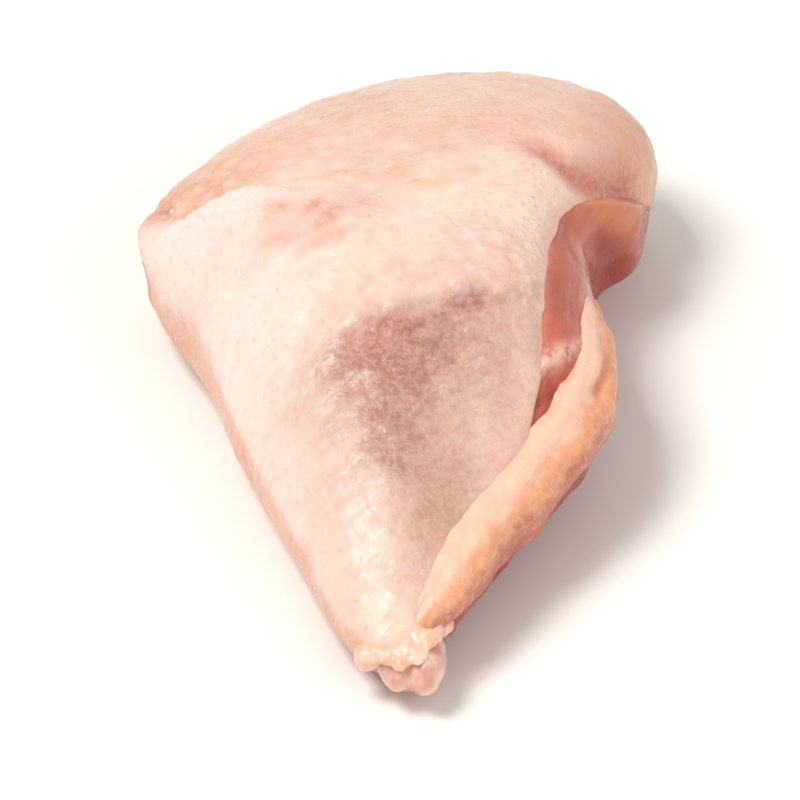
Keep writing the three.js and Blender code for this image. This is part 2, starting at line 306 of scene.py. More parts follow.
@dataclass(frozen=True)
class BodySurface:
    """The thigh's overall form: a dome on a rim, with a flatter underside.

    Attributes:
        crest_height: flesh alone, at the highest point of the dome.
        crest_y: where that is.
        tip_height: the dome's height at the tip.
        tip_y: where the climb to the crest starts.
        back_height: the dome's height at the back.
        back_y: where the drop from the crest ends.
        middle: the point that the top and the underside close on.
        underside_full: how square the underside is.
        rest_flat: height that the resting weight presses flat.
        rim: the rim, going round from the tip along the right side.
    """

    crest_height: float = 35.0
    crest_y: float = 84.0
    tip_height: float = 12.0
    tip_y: float = -34.0
    back_height: float = 30.0
    back_y: float = 150.0
    middle: tuple[float, float] = (-1.0, 72.0)
    underside_full: float = 2.6
    rest_flat: float = 0.9
    rim: tuple[RimPoint, ...] = (
        RimPoint(-0.8, 1.7, 6.5, 2.5, 0.39),  # tip
        RimPoint(4.2, 8.6, 7, 2.5, 0.285),
        RimPoint(10.5, 21.3, 9, 2.4, 0.335),  # beside the rolled edge
        RimPoint(20, 34.2, 11, 2.4, 0.345),
        RimPoint(29.3, 48.8, 12, 2.4, 0.232),
        RimPoint(29.3, 65, 13, 2.5, 0.235),  # where the sliver of flesh shows
        RimPoint(27.3, 80, 13, 2.7, 0.274),  # notch
        RimPoint(28.5, 90, 13, 3, 0.29),
        RimPoint(35.8, 100.5, 12, 3.2, 0.475),  # knob of flesh
        RimPoint(40.2, 113.8, 12, 3, 0.52),
        RimPoint(29.8, 128, 12, 2.8, 0.65),  # back right
        RimPoint(6, 130.2, 12, 2.6, 0.67),
        RimPoint(-15.8, 122, 12, 2.4, 0.67),
        RimPoint(-29.6, 108.6, 12, 2.3, 0.67),
        RimPoint(-42.2, 94.4, 13, 2.3, 0.67),  # back left
        RimPoint(-28.6, 73.5, 13, 2.5, 0.68),
        RimPoint(-23.7, 52.9, 12, 2.6, 0.68),  # straight left side
        RimPoint(-14.8, 32, 10, 2.6, 0.66),
        RimPoint(-7.2, 12, 8, 2.5, 0.61),
    )

    def round(self, u: Array, name: str) -> Array:
        """The named value of the rim's points at u, as a closed spline."""
        values = np.array([getattr(point, name) for point in self.rim])
        return spline(values, u * len(values), closed=True)

    def dome(self, y: Array) -> Array:
        """The dome's height before its edge rounds off: it climbs from the tip to the crest and drops to the back."""
        climb = (self.crest_height - self.tip_height) * ease(self.tip_y, self.crest_y, y)
        drop = (self.crest_height - self.back_height) * ease(self.crest_y, self.back_y, y)
        return self.tip_height + climb - drop

    def point(self, u: Array, w: Array) -> Array:
        """Points of the surface: a superellipse from the top over the rim to the underside.

        With t = pi w, a point lies a share sin(t)^p of the way from the middle to the rim, and cos(t)^p of the
        way from the rim's height to the dome's, or to the floor, where p is 2 over the squareness.
        """
        t = np.pi * np.clip(w, 0.0, 1.0)
        upper = t <= np.pi / 2
        power = 2 / np.where(upper, self.round(u, "full"), self.underside_full)
        out = np.maximum(np.sin(t), 0.0) ** power
        lift = np.abs(np.cos(t)) ** power
        rim_z = self.round(u, "rim")
        x = self.middle[0] + (self.round(u, "x") - self.middle[0]) * out
        y = self.middle[1] + (self.round(u, "y") - self.middle[1]) * out
        above = rim_z + (self.dome(y) - rim_z) * lift
        below = rim_z * (1 - lift) - self.rest_flat * lift
        return np.stack([x, y, np.maximum(np.where(upper, above, below), 0.0)], axis=-1)

    def down(self, u: Array, w: Array) -> Array:
        """The direction along the surface away from its top."""
        held = np.clip(w, 0.02, 0.98)
        return unit(self.point(u, held + 0.004) - self.point(u, held - 0.004))

    def normal(self, u: Array, w: Array) -> Array:
        """The outward direction, from two short steps on the surface."""
        held = np.clip(w, 0.02, 0.98)
        turn = self.point(u + 0.004, held) - self.point(u - 0.004, held)
        return unit(np.cross(self.down(u, w), turn))

    def unrolled(self, u: Array, w: Array) -> Array:
        """Where a point lies on the skin laid flat: its direction from the middle, at a distance half way between
        the straight one and the one along the surface."""
        steps = 24
        path = [self.point(u, w * k / steps) for k in range(steps + 1)]
        arc = sum(np.linalg.norm(path[k + 1] - path[k], axis=-1) for k in range(steps))
        away = path[-1][..., :2] - np.array(self.middle)
        straight = np.linalg.norm(away, axis=-1)
        return unit(away) * ((arc + straight) / 2)[..., None] + np.array(self.middle)


# Meshes


@dataclass(frozen=True)
class OvalGrid:
    """A square grid pressed into a disc, so that its cells stay about equal.

    Attributes:
        across: cells from left to right.
        along: cells from front to back.
    """

    across: int
    along: int

    def places(self) -> tuple[Array, Array]:
        """u, the turn from the front anticlockwise, and the reach from the middle (0) to the border (1)."""
        a, b = np.meshgrid(np.linspace(-1, 1, self.across + 1), np.linspace(-1, 1, self.along + 1))
        wide = np.abs(a) > np.abs(b)
        reach = np.where(wide, a, b)
        other = np.where(wide, b, a)
        lean = np.pi / 4 * other / np.where(reach == 0, 1.0, reach)
        angle = np.where(wide, lean, np.pi / 2 - lean)
        x, y = reach * np.cos(angle), reach * np.sin(angle)
        u = (np.arctan2(y, x) / (2 * np.pi) + 0.25) % 1.0
        return u.ravel(), np.abs(reach).ravel()

    def faces(self) -> Array:
        """Its cells, anticlockwise as seen from above."""
        row = self.across + 1
        first = (np.arange(self.along)[:, None] * row + np.arange(self.across)).ravel()
        return np.stack([first, first + 1, first + row + 1, first + row], axis=-1)

    def border(self) -> Array:
        """Its border's vertices, anticlockwise from the front left corner."""
        row = self.across + 1
        front = np.arange(self.across)
        right = np.arange(self.along) * row + self.across
        back = self.along * row + np.arange(self.across, 0, -1)
        left = np.arange(self.along, 0, -1) * row
        return np.concatenate([front, right, back, left])

    def normals(self, points: Array) -> Array:
        """Outward directions of a surface on this grid, from the differences along its two ways."""
        sheet = points.reshape(self.along + 1, self.across + 1, 3)
        return unit(np.cross(np.gradient(sheet, axis=1), np.gradient(sheet, axis=0))).reshape(-1, 3)


def band(upper: Array, lower: Array) -> Array:
    """The quads between two closed rings of as many vertices, outward where upper goes anticlockwise on top."""
    return np.stack([np.roll(upper, -1), upper, lower, np.roll(lower, -1)], axis=-1)


def funnel(fine: Array, coarse: Array) -> Array:
    """The triangles between a closed ring and one with a quarter of its vertices, as (n, 3) indices."""
    after = np.roll(coarse, -1)
    groups = fine.reshape(-1, 4)
    following = np.roll(fine, -1).reshape(-1, 4)
    triangles = [np.stack([following[:, k], groups[:, k], coarse], axis=-1) for k in (0, 1)]
    triangles += [np.stack([following[:, k], groups[:, k], after], axis=-1) for k in (2, 3)]
    triangles.append(np.stack([groups[:, 2], coarse, after], axis=-1))
    return np.concatenate(triangles)


@dataclass
class Form:
    """A mesh in the making: points in the thigh's own millimetres, faces, and values painted on the points."""

    points: Array
    quads: Array = field(default_factory=lambda: np.zeros((0, 4), int))
    triangles: Array = field(default_factory=lambda: np.zeros((0, 3), int))
    paint: dict[str, Array] = field(default_factory=dict)

    def turned(self) -> Form:
        """The same mesh with its faces turned round."""
        return Form(self.points, self.quads[:, ::-1], self.triangles[:, ::-1], self.paint)

    def normals(self) -> Array:
        """Outward directions at the points, as the sum of the faces' own around each."""
        total = np.zeros_like(self.points)
        for faces in (self.quads, self.triangles):
            if len(faces) == 0:
                continue
            corners = self.points[faces]
            facing = np.cross(corners[:, 2] - corners[:, 0], corners[:, -1] - corners[:, 1])
            for k in range(faces.shape[1]):
                np.add.at(total, faces[:, k], facing)
        return unit(total)


def joined(forms: Sequence[Form]) -> Form:
    """Several forms as one, whose paint is 0 where a form has none of that name."""
    starts = np.cumsum([0] + [len(form.points) for form in forms])
    names = {name for form in forms for name in form.paint}
    paint = {
        name: np.concatenate([form.paint.get(name, np.zeros(len(form.points))) for form in forms])
        for name in sorted(names)
    }
    return Form(
        np.concatenate([form.points for form in forms]),
        np.concatenate([form.quads + start for form, start in zip(forms, starts)]),
        np.concatenate([form.triangles + start for form, start in zip(forms, starts)]),
        paint,
    )


def shell(fine: OvalGrid, front: Array, rings: Sequence[Array], coarse: OvalGrid, back: Array) -> Form:
    """A closed shell: a fine sheet, rings of points round its border, and a sheet with a quarter of its cells."""
    outer = fine.border()
    inner_start = len(front) + sum(len(ring) for ring in rings)
    inner = coarse.border() + inner_start
    quads = [fine.faces()]
    upper, start = outer, len(front)
    for ring in rings:
        lower = np.arange(len(ring)) + start
        quads.append(band(upper, lower))
        upper, start = lower, start + len(ring)
    quads.append(coarse.faces()[:, ::-1] + inner_start)
    points = np.concatenate([front, *rings, back])
    return Form(points, np.concatenate(quads), funnel(upper, inner))


def tube(rings: Array, first: Array, last: Array) -> Form:
    """A closed tube from rings of points, (ring, side, 3), and a pole at each end."""
    count, sides = rings.shape[:2]
    index = np.arange(count * sides).reshape(count, sides) + 1
    quads = np.concatenate([band(index[k], index[k + 1]) for k in range(count - 1)])
    pole = np.full(sides, count * sides + 1)
    cap = np.stack([np.zeros(sides, int), index[0], np.roll(index[0], -1)], axis=-1)
    end = np.stack([pole, np.roll(index[-1], -1), index[-1]], axis=-1)
    return Form(np.concatenate([[first], rings.reshape(-1, 3), [last]]), quads, np.concatenate([cap, end]))


@dataclass(frozen=True)
class Placement:
    """Where the thigh's own coordinates lie in the frame, in millimetres."""

    shift: tuple[float, float]

    @classmethod
    def from_bone(cls, front: float, right: float) -> Placement:
        """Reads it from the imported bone, whose foremost and rightmost points have known coordinates.

        Args:
            front: the bone's lowest y.
            right: the bone's highest x.
        """
        low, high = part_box("thigh_bone")
        return cls((high.x / MILLIMETRE - right, low.y / MILLIMETRE - front))

    def mesh(self, name: str, form: Form) -> bpy.types.Mesh:
        """A Blender mesh of the form, in the frame's metres, with its paint as attributes."""
        moved = (form.points + np.array([*self.shift, 0.0])) * MILLIMETRE
        mesh = bpy.data.meshes.new(name)
        mesh.from_pydata(moved, [], [*form.quads.tolist(), *form.triangles.tolist()])
        for title, values in form.paint.items():
            layer = mesh.attributes.new(title, "FLOAT", "POINT")
            layer.data.foreach_set("value", np.ascontiguousarray(values, np.float32))
        mesh.polygons.foreach_set("use_smooth", np.ones(len(mesh.polygons), bool))
        mesh.update()
        return mesh


BODY_SURFACE = BodySurface()
PLACEMENT = Placement.from_bone(front=-0.6, right=15.8)


def add_piece(
    name: str, form: Form, material: bpy.types.Material, stands_for: Sequence[str] = ()
) -> bpy.types.Object:
    """Adds a piece to the scene, riding on the thigh's one body.

    Args:
        name: the piece's name.
        form: its shape.
        material: its finish.
        stands_for: the solids that it is shown in place of.
    """
    piece = bpy.data.objects.new(name, PLACEMENT.mesh(name, form))
    bpy.context.scene.collection.objects.link(piece)
    piece.data.materials.append(material)
    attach(piece, BODY)
    if stands_for:
        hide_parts(*stands_for)
    log.info("%s: %d points, %d faces", name, len(piece.data.vertices), len(piece.data.polygons))
    return piece


# Finishes


Socket = bpy.types.NodeSocket


def srgb(red: float, green: float, blue: float) -> tuple[float, float, float, float]:
    """A colour given as screen values from 0 to 255, in the linear values that shaders take."""
    parts = [c / 255 for c in (red, green, blue)]
    linear = [c / 12.92 if c <= 0.04045 else ((c + 0.055) / 1.055) ** 2.4 for c in parts]
    return (*linear, 1.0)


class Sheet:
    """A material's node tree, with short calls that add nodes and join them."""

    def __init__(self, name: str) -> None:
        """Starts a material with its shader."""
        self.material = bpy.data.materials.new(name)
        self.material.use_nodes = True
        self.tree = self.material.node_tree
        self.shader = self.tree.nodes["Principled BSDF"]
        self.place = self.tree.nodes.new("ShaderNodeTexCoord").outputs["Object"]

    def set(self, **values: float | Sequence[float]) -> None:
        """Sets constants on the shader's own sockets, named with underscores for spaces."""
        for name, value in values.items():
            self.shader.inputs[name.replace("_", " ")].default_value = value

    def join(self, source: Socket, name: str) -> None:
        """Joins a value or colour to the shader's socket of that name."""
        self.tree.links.new(source, self.shader.inputs[name])

    def feed(self, target: Socket, source: Socket | float | Sequence[float]) -> None:
        """Joins a socket to another node's output, or sets it to a constant."""
        if isinstance(source, bpy.types.NodeSocket):
            self.tree.links.new(source, target)
        else:
            target.default_value = source

    def attribute(self, name: str) -> Socket:
        """A value painted on the mesh."""
        node = self.tree.nodes.new("ShaderNodeAttribute")
        node.attribute_name = name
        return node.outputs["Fac"]

    def vector(self, x: Socket, y: Socket, z: Socket | float = 0.0) -> Socket:
        """A vector from three values."""
        node = self.tree.nodes.new("ShaderNodeCombineXYZ")
        for target, source in zip(node.inputs, (x, y, z)):
            self.feed(target, source)
        return node.outputs[0]

    def noise(
        self, size: float, detail: float = 2.0, rough: float = 0.55, place: Socket | None = None, bend: float = 0.0
    ) -> Socket:
        """Noise from 0 to 1 whose marks are about size millimetres, on the object's own coordinates."""
        node = self.tree.nodes.new("ShaderNodeTexNoise")
        self.feed(node.inputs["Vector"], place or self.place)
        node.inputs["Scale"].default_value = 1 / (size * (1.0 if place else MILLIMETRE))
        node.inputs["Detail"].default_value = detail
        node.inputs["Roughness"].default_value = rough
        node.inputs["Distortion"].default_value = bend
        return node.outputs["Fac"]

    def crackle(self, size: float, spread: float = 1.0, place: Socket | None = None) -> Socket:
        """The distance to the nearest line of a net of cells of about that size."""
        node = self.tree.nodes.new("ShaderNodeTexVoronoi")
        node.feature = "DISTANCE_TO_EDGE"
        self.feed(node.inputs["Vector"], place or self.place)
        node.inputs["Scale"].default_value = 1 / (size * (1.0 if place else MILLIMETRE))
        node.inputs["Randomness"].default_value = spread
        return node.outputs["Distance"]

    def remap(self, value: Socket, low: float, high: float, to_low: float = 0.0, to_high: float = 1.0) -> Socket:
        """The value brought smoothly from one range to another, and held inside it."""
        node = self.tree.nodes.new("ShaderNodeMapRange")
        node.interpolation_type = "SMOOTHSTEP"
        for target, source in zip(node.inputs, (value, low, high, to_low, to_high)):
            self.feed(target, source)
        return node.outputs[0]

    def math(self, way: str, first: Socket | float, second: Socket | float = 0.0) -> Socket:
        """The sum, product or the like of two values."""
        node = self.tree.nodes.new("ShaderNodeMath")
        node.operation = way
        self.feed(node.inputs[0], first)
        self.feed(node.inputs[1], second)
        return node.outputs[0]

    def mix(self, share: Socket, first: Socket | Sequence[float], second: Socket | Sequence[float]) -> Socket:
        """The first colour where share is 0 and the second where it is 1."""
        node = self.tree.nodes.new("ShaderNodeMix")
        node.data_type = "RGBA"
        self.feed(node.inputs["Factor"], share)
        self.feed(node.inputs[6], first)
        self.feed(node.inputs[7], second)
        return node.outputs[2]

    def bump(self, height: Socket, depth: float, strength: float = 1.0, under: Socket | None = None) -> Socket:
        """A surface direction bent by a height, of depth millimetres from 0 to 1."""
        node = self.tree.nodes.new("ShaderNodeBump")
        node.inputs["Strength"].default_value = strength
        node.inputs["Distance"].default_value = depth * MILLIMETRE
        self.feed(node.inputs["Height"], height)
        if under is not None:
            self.feed(node.inputs["Normal"], under)
        return node.outputs["Normal"]


@dataclass(frozen=True)
class SkinFinish:
    """Raw skin: cream over pink, faintly see-through, moist, with dark meat showing through where it is thin, and with
    painted highlights and painted shade where the painted values say.
    """

    cream: tuple[float, float, float, float] = srgb(243, 212, 189)
    pink: tuple[float, float, float, float] = srgb(233, 188, 167)
    # pale: a pale tone, also used as painted highlight
    pale: tuple[float, float, float, float] = srgb(244, 224, 215)
    # orange: the fat's own tone under the skin, also used as painted shade on the sides turned from the light
    fat: tuple[float, float, float, float] = srgb(229, 170, 126)
    mauve: tuple[float, float, float, float] = srgb(168, 122, 110)
    # ruddy: a reddish tone of the skin, also used as painted shade
    ruddy: tuple[float, float, float, float] = srgb(176, 96, 78)
    olive: tuple[float, float, float, float] = srgb(178, 138, 100)
    # red: pink streaks, painted shade in creases, grooves and furrows, and the pores
    red: tuple[float, float, float, float] = srgb(190, 96, 70)

    def build(self) -> bpy.types.Material:
        """The material, which reads the values painted on the skin's mesh."""
        sheet = Sheet("raw_skin")
        broad = sheet.remap(sheet.noise(14, 2), 0.35, 0.68)
        fine = sheet.remap(sheet.noise(2.2, 3, 0.6), 0.35, 0.7)
        colour = sheet.mix(broad, self.cream, self.pink)
        colour = sheet.mix(sheet.math("MULTIPLY", fine, 0.4), colour, self.pale)
        # paler tone, plus painted highlight on the lit left side, along the fold's lip and on the pad above the knob
        colour = sheet.mix(sheet.attribute("pale"), colour, self.pale)
        uneven = sheet.remap(sheet.noise(4.0, 4, 0.6), 0.25, 0.75, 0.65, 1.15)
        # the orange share: fat under the skin, plus painted shade on the flank behind the fold, the right dome and the
        # steep sides
        fat_and_shade_share = sheet.math("MINIMUM", sheet.math("MULTIPLY", sheet.attribute("fat"), uneven), 1.0)
        colour = sheet.mix(fat_and_shade_share, colour, self.fat)
        mottle = sheet.remap(sheet.noise(5.5, 4, 0.55, bend=0.4), 0.25, 0.75, 0.65, 1.3)
        dark = sheet.math("MULTIPLY", sheet.attribute("patch"), mottle)
        colour = sheet.mix(sheet.math("MINIMUM", dark, 1.0), colour, self.mauve)
        # reddish tone, plus painted shade below the ledge, in the notch and behind the fold
        ruddy = sheet.math("MULTIPLY", sheet.attribute("ruddy"), sheet.remap(sheet.noise(3.0, 4, 0.6), 0.3, 0.7, 0.7, 1.2))
        colour = sheet.mix(sheet.math("MINIMUM", ruddy, 1.0), colour, self.ruddy)
        colour = sheet.mix(sheet.attribute("bruise"), colour, self.olive)
        # red: pink streaks, plus painted shade in creases and on sides turned from the light
        colour = sheet.mix(sheet.attribute("blush"), colour, self.red)
        # painted shade: the furrows are painted redder
        colour = sheet.mix(sheet.math("MULTIPLY", sheet.attribute("furrow"), 0.2), colour, self.red)
        specks = sheet.remap(sheet.noise(0.9, 3, 0.7), 0.42, 0.62, 0.0, 0.3)
        colour = sheet.mix(specks, colour, self.pink)
        colour = sheet.mix(sheet.math("MULTIPLY", sheet.attribute("follicle"), 0.4), colour, self.pale)
        colour = sheet.mix(sheet.math("MULTIPLY", sheet.attribute("pore"), 0.4), colour, self.red)
        sheet.join(colour, "Base Color")
        sheet.join(sheet.remap(sheet.noise(3.0, 3), 0.3, 0.7, 0.26, 0.5), "Roughness")
        creases = sheet.bump(sheet.remap(sheet.crackle(1.3), 0.0, 0.3), 0.06, 0.45)
        grain = sheet.bump(sheet.noise(0.6, 2), 0.08, 0.5, creases)
        sheet.join(sheet.bump(sheet.noise(1.6, 3, 0.6, bend=0.4), 0.3, 0.6, grain), "Normal")
        sheet.set(Subsurface_Weight=0.35, Subsurface_Radius=(1.0, 0.5, 0.34), Subsurface_Scale=0.0007)
        sheet.set(Specular_IOR_Level=0.38, Coat_Weight=0.2, Coat_Roughness=0.34)
        return sheet.material


@dataclass(frozen=True)
class FleshFinish:
    """Raw meat: wet and pink-red, with fibres, pale sheets between the muscles and a few flecks of fat."""

    meat: tuple[float, float, float, float] = srgb(192, 90, 68)
    dark: tuple[float, float, float, float] = srgb(152, 58, 44)
    light: tuple[float, float, float, float] = srgb(212, 130, 110)
    warm: tuple[float, float, float, float] = srgb(212, 132, 92)
    sinew: tuple[float, float, float, float] = srgb(230, 186, 166)
    # deep red: painted shade in hollows and under the knob
    deep: tuple[float, float, float, float] = srgb(140, 26, 10)

    def build(self) -> bpy.types.Material:
        """The material, whose fibres run along the painted grain lines."""
        sheet = Sheet("raw_flesh")
        strand = sheet.vector(*(sheet.attribute("grain_" + way) for way in ("across", "along", "up")))
        fibres = sheet.noise(0.55, 3, 0.6, place=strand)
        bundles = sheet.noise(1.9, 2, 0.5, place=strand)
        broad = sheet.noise(11, 3)
        colour = sheet.mix(sheet.remap(broad, 0.32, 0.68), self.meat, self.dark)
        colour = sheet.mix(sheet.math("MULTIPLY", sheet.remap(bundles, 0.4, 0.75), 0.3), colour, self.light)
        colour = sheet.mix(sheet.remap(fibres, 0.5, 0.72, 0.0, 0.22), colour, self.light)
        # painted sheen: lighter along the middle of the sliver of flesh
        colour = sheet.mix(sheet.attribute("light"), colour, self.light)
        colour = sheet.mix(sheet.attribute("warm"), colour, self.warm)
        veil = sheet.math("MULTIPLY", sheet.attribute("sinew"), sheet.remap(sheet.noise(2.2, 4, 0.6), 0.25, 0.55))
        colour = sheet.mix(veil, colour, self.sinew)
        # painted shade: deep red in the hollows, the notch and under the knob
        colour = sheet.mix(sheet.attribute("deep"), colour, self.deep)
        sheet.join(colour, "Base Color")
        sheet.join(sheet.remap(sheet.noise(2.5, 2), 0.3, 0.7, 0.24, 0.4), "Roughness")
        strands = sheet.bump(fibres, 0.12, 0.5)
        sheet.join(sheet.bump(sheet.noise(0.8, 3, 0.6), 0.08, 0.5, strands), "Normal")
        sheet.set(Subsurface_Weight=0.3, Subsurface_Radius=(1.0, 0.3, 0.2), Subsurface_Scale=0.001)
        sheet.set(Specular_IOR_Level=0.3, Coat_Weight=0.16, Coat_Roughness=0.14)
        return sheet.material


@dataclass(frozen=True)
class FattySkinFinish:
    """Skin with fat under it, rolled over: cream on its inner side, orange on top and pink outside."""

    cream: tuple[float, float, float, float] = srgb(240, 196, 170)
    orange: tuple[float, float, float, float] = srgb(232, 160, 118)
    pink: tuple[float, float, float, float] = srgb(196, 116, 94)
    red: tuple[float, float, float, float] = srgb(184, 84, 66)

    def build(self) -> bpy.types.Material:
        """The material, which goes from cream to pink across the roll."""
        sheet = Sheet("fatty_skin")
        drift = sheet.math("MULTIPLY", sheet.math("SUBTRACT", sheet.noise(4, 4, 0.6), 0.5), 0.6)
        across = sheet.math("ADD", sheet.attribute("across"), drift)
        colour = sheet.mix(sheet.remap(across, 0.16, 0.4), self.cream, self.orange)
        colour = sheet.mix(sheet.remap(across, 0.44, 0.7), colour, self.pink)
        colour = sheet.mix(sheet.remap(sheet.noise(1.3, 3, 0.65), 0.45, 0.7, 0.0, 0.4), colour, self.cream)
        # red: painted shade in the roll's groove and on its outer side
        colour = sheet.mix(sheet.attribute("blush"), colour, self.red)
        sheet.join(colour, "Base Color")
        sheet.join(sheet.remap(sheet.noise(2.5, 2), 0.3, 0.7, 0.34, 0.52), "Roughness")
        grain = sheet.bump(sheet.noise(0.6, 3), 0.1, 0.6)
        sheet.join(sheet.bump(sheet.noise(1.7, 3), 0.3, 0.6, grain), "Normal")
        sheet.set(Subsurface_Weight=0.35, Subsurface_Radius=(1.0, 0.5, 0.34), Subsurface_Scale=0.0009)
        sheet.set(Specular_IOR_Level=0.4, Coat_Weight=0.25, Coat_Roughness=0.28)
        return sheet.material


@dataclass(frozen=True)
class BoneFinish:
    """Cartilage over bone: pearly and pinkish white, with red where vessels run in."""

    pearl: tuple[float, float, float, float] = srgb(232, 196, 176)
    pink: tuple[float, float, float, float] = srgb(214, 156, 138)
    red: tuple[float, float, float, float] = srgb(150, 58, 48)

    def build(self) -> bpy.types.Material:
        """The material, redder where the painted value says."""
        sheet = Sheet("wet_bone")
        colour = sheet.mix(sheet.remap(sheet.noise(4, 3), 0.35, 0.65), self.pearl, self.pink)
        blood = sheet.math("MULTIPLY", sheet.attribute("blood"), sheet.remap(sheet.noise(1.6, 4, 0.65), 0.36, 0.6))
        colour = sheet.mix(blood, colour, self.red)
        sheet.join(colour, "Base Color")
        sheet.join(sheet.remap(sheet.noise(2, 2), 0.3, 0.7, 0.18, 0.32), "Roughness")
        sheet.join(sheet.bump(sheet.noise(1.1, 3), 0.14, 0.6), "Normal")
        sheet.set(Subsurface_Weight=0.5, Subsurface_Radius=(1.0, 0.6, 0.5), Subsurface_Scale=0.0015)
        sheet.set(Specular_IOR_Level=0.45, Coat_Weight=0.2, Coat_Roughness=0.3)
        return sheet.material


@dataclass(frozen=True)
class FatFinish:
    """Raw fat: soft yellowish white lumps with a moist gloss."""

    white: tuple[float, float, float, float] = srgb(240, 208, 186)
    yellow: tuple[float, float, float, float] = srgb(232, 180, 146)

    def build(self) -> bpy.types.Material:
        """The material."""
        sheet = Sheet("raw_fat")
        sheet.join(sheet.mix(sheet.remap(sheet.noise(2.4, 3), 0.35, 0.65), self.white, self.yellow), "Base Color")
        sheet.join(sheet.remap(sheet.noise(1.5, 2), 0.3, 0.7, 0.25, 0.42), "Roughness")
        sheet.join(sheet.bump(sheet.noise(0.8, 3), 0.1, 0.5), "Normal")
        sheet.set(Subsurface_Weight=0.4, Subsurface_Radius=(1.0, 0.6, 0.4), Subsurface_Scale=0.001)
        sheet.set(Specular_IOR_Level=0.4, Coat_Weight=0.2, Coat_Roughness=0.3)
        return sheet.material


# Sub-assemblies


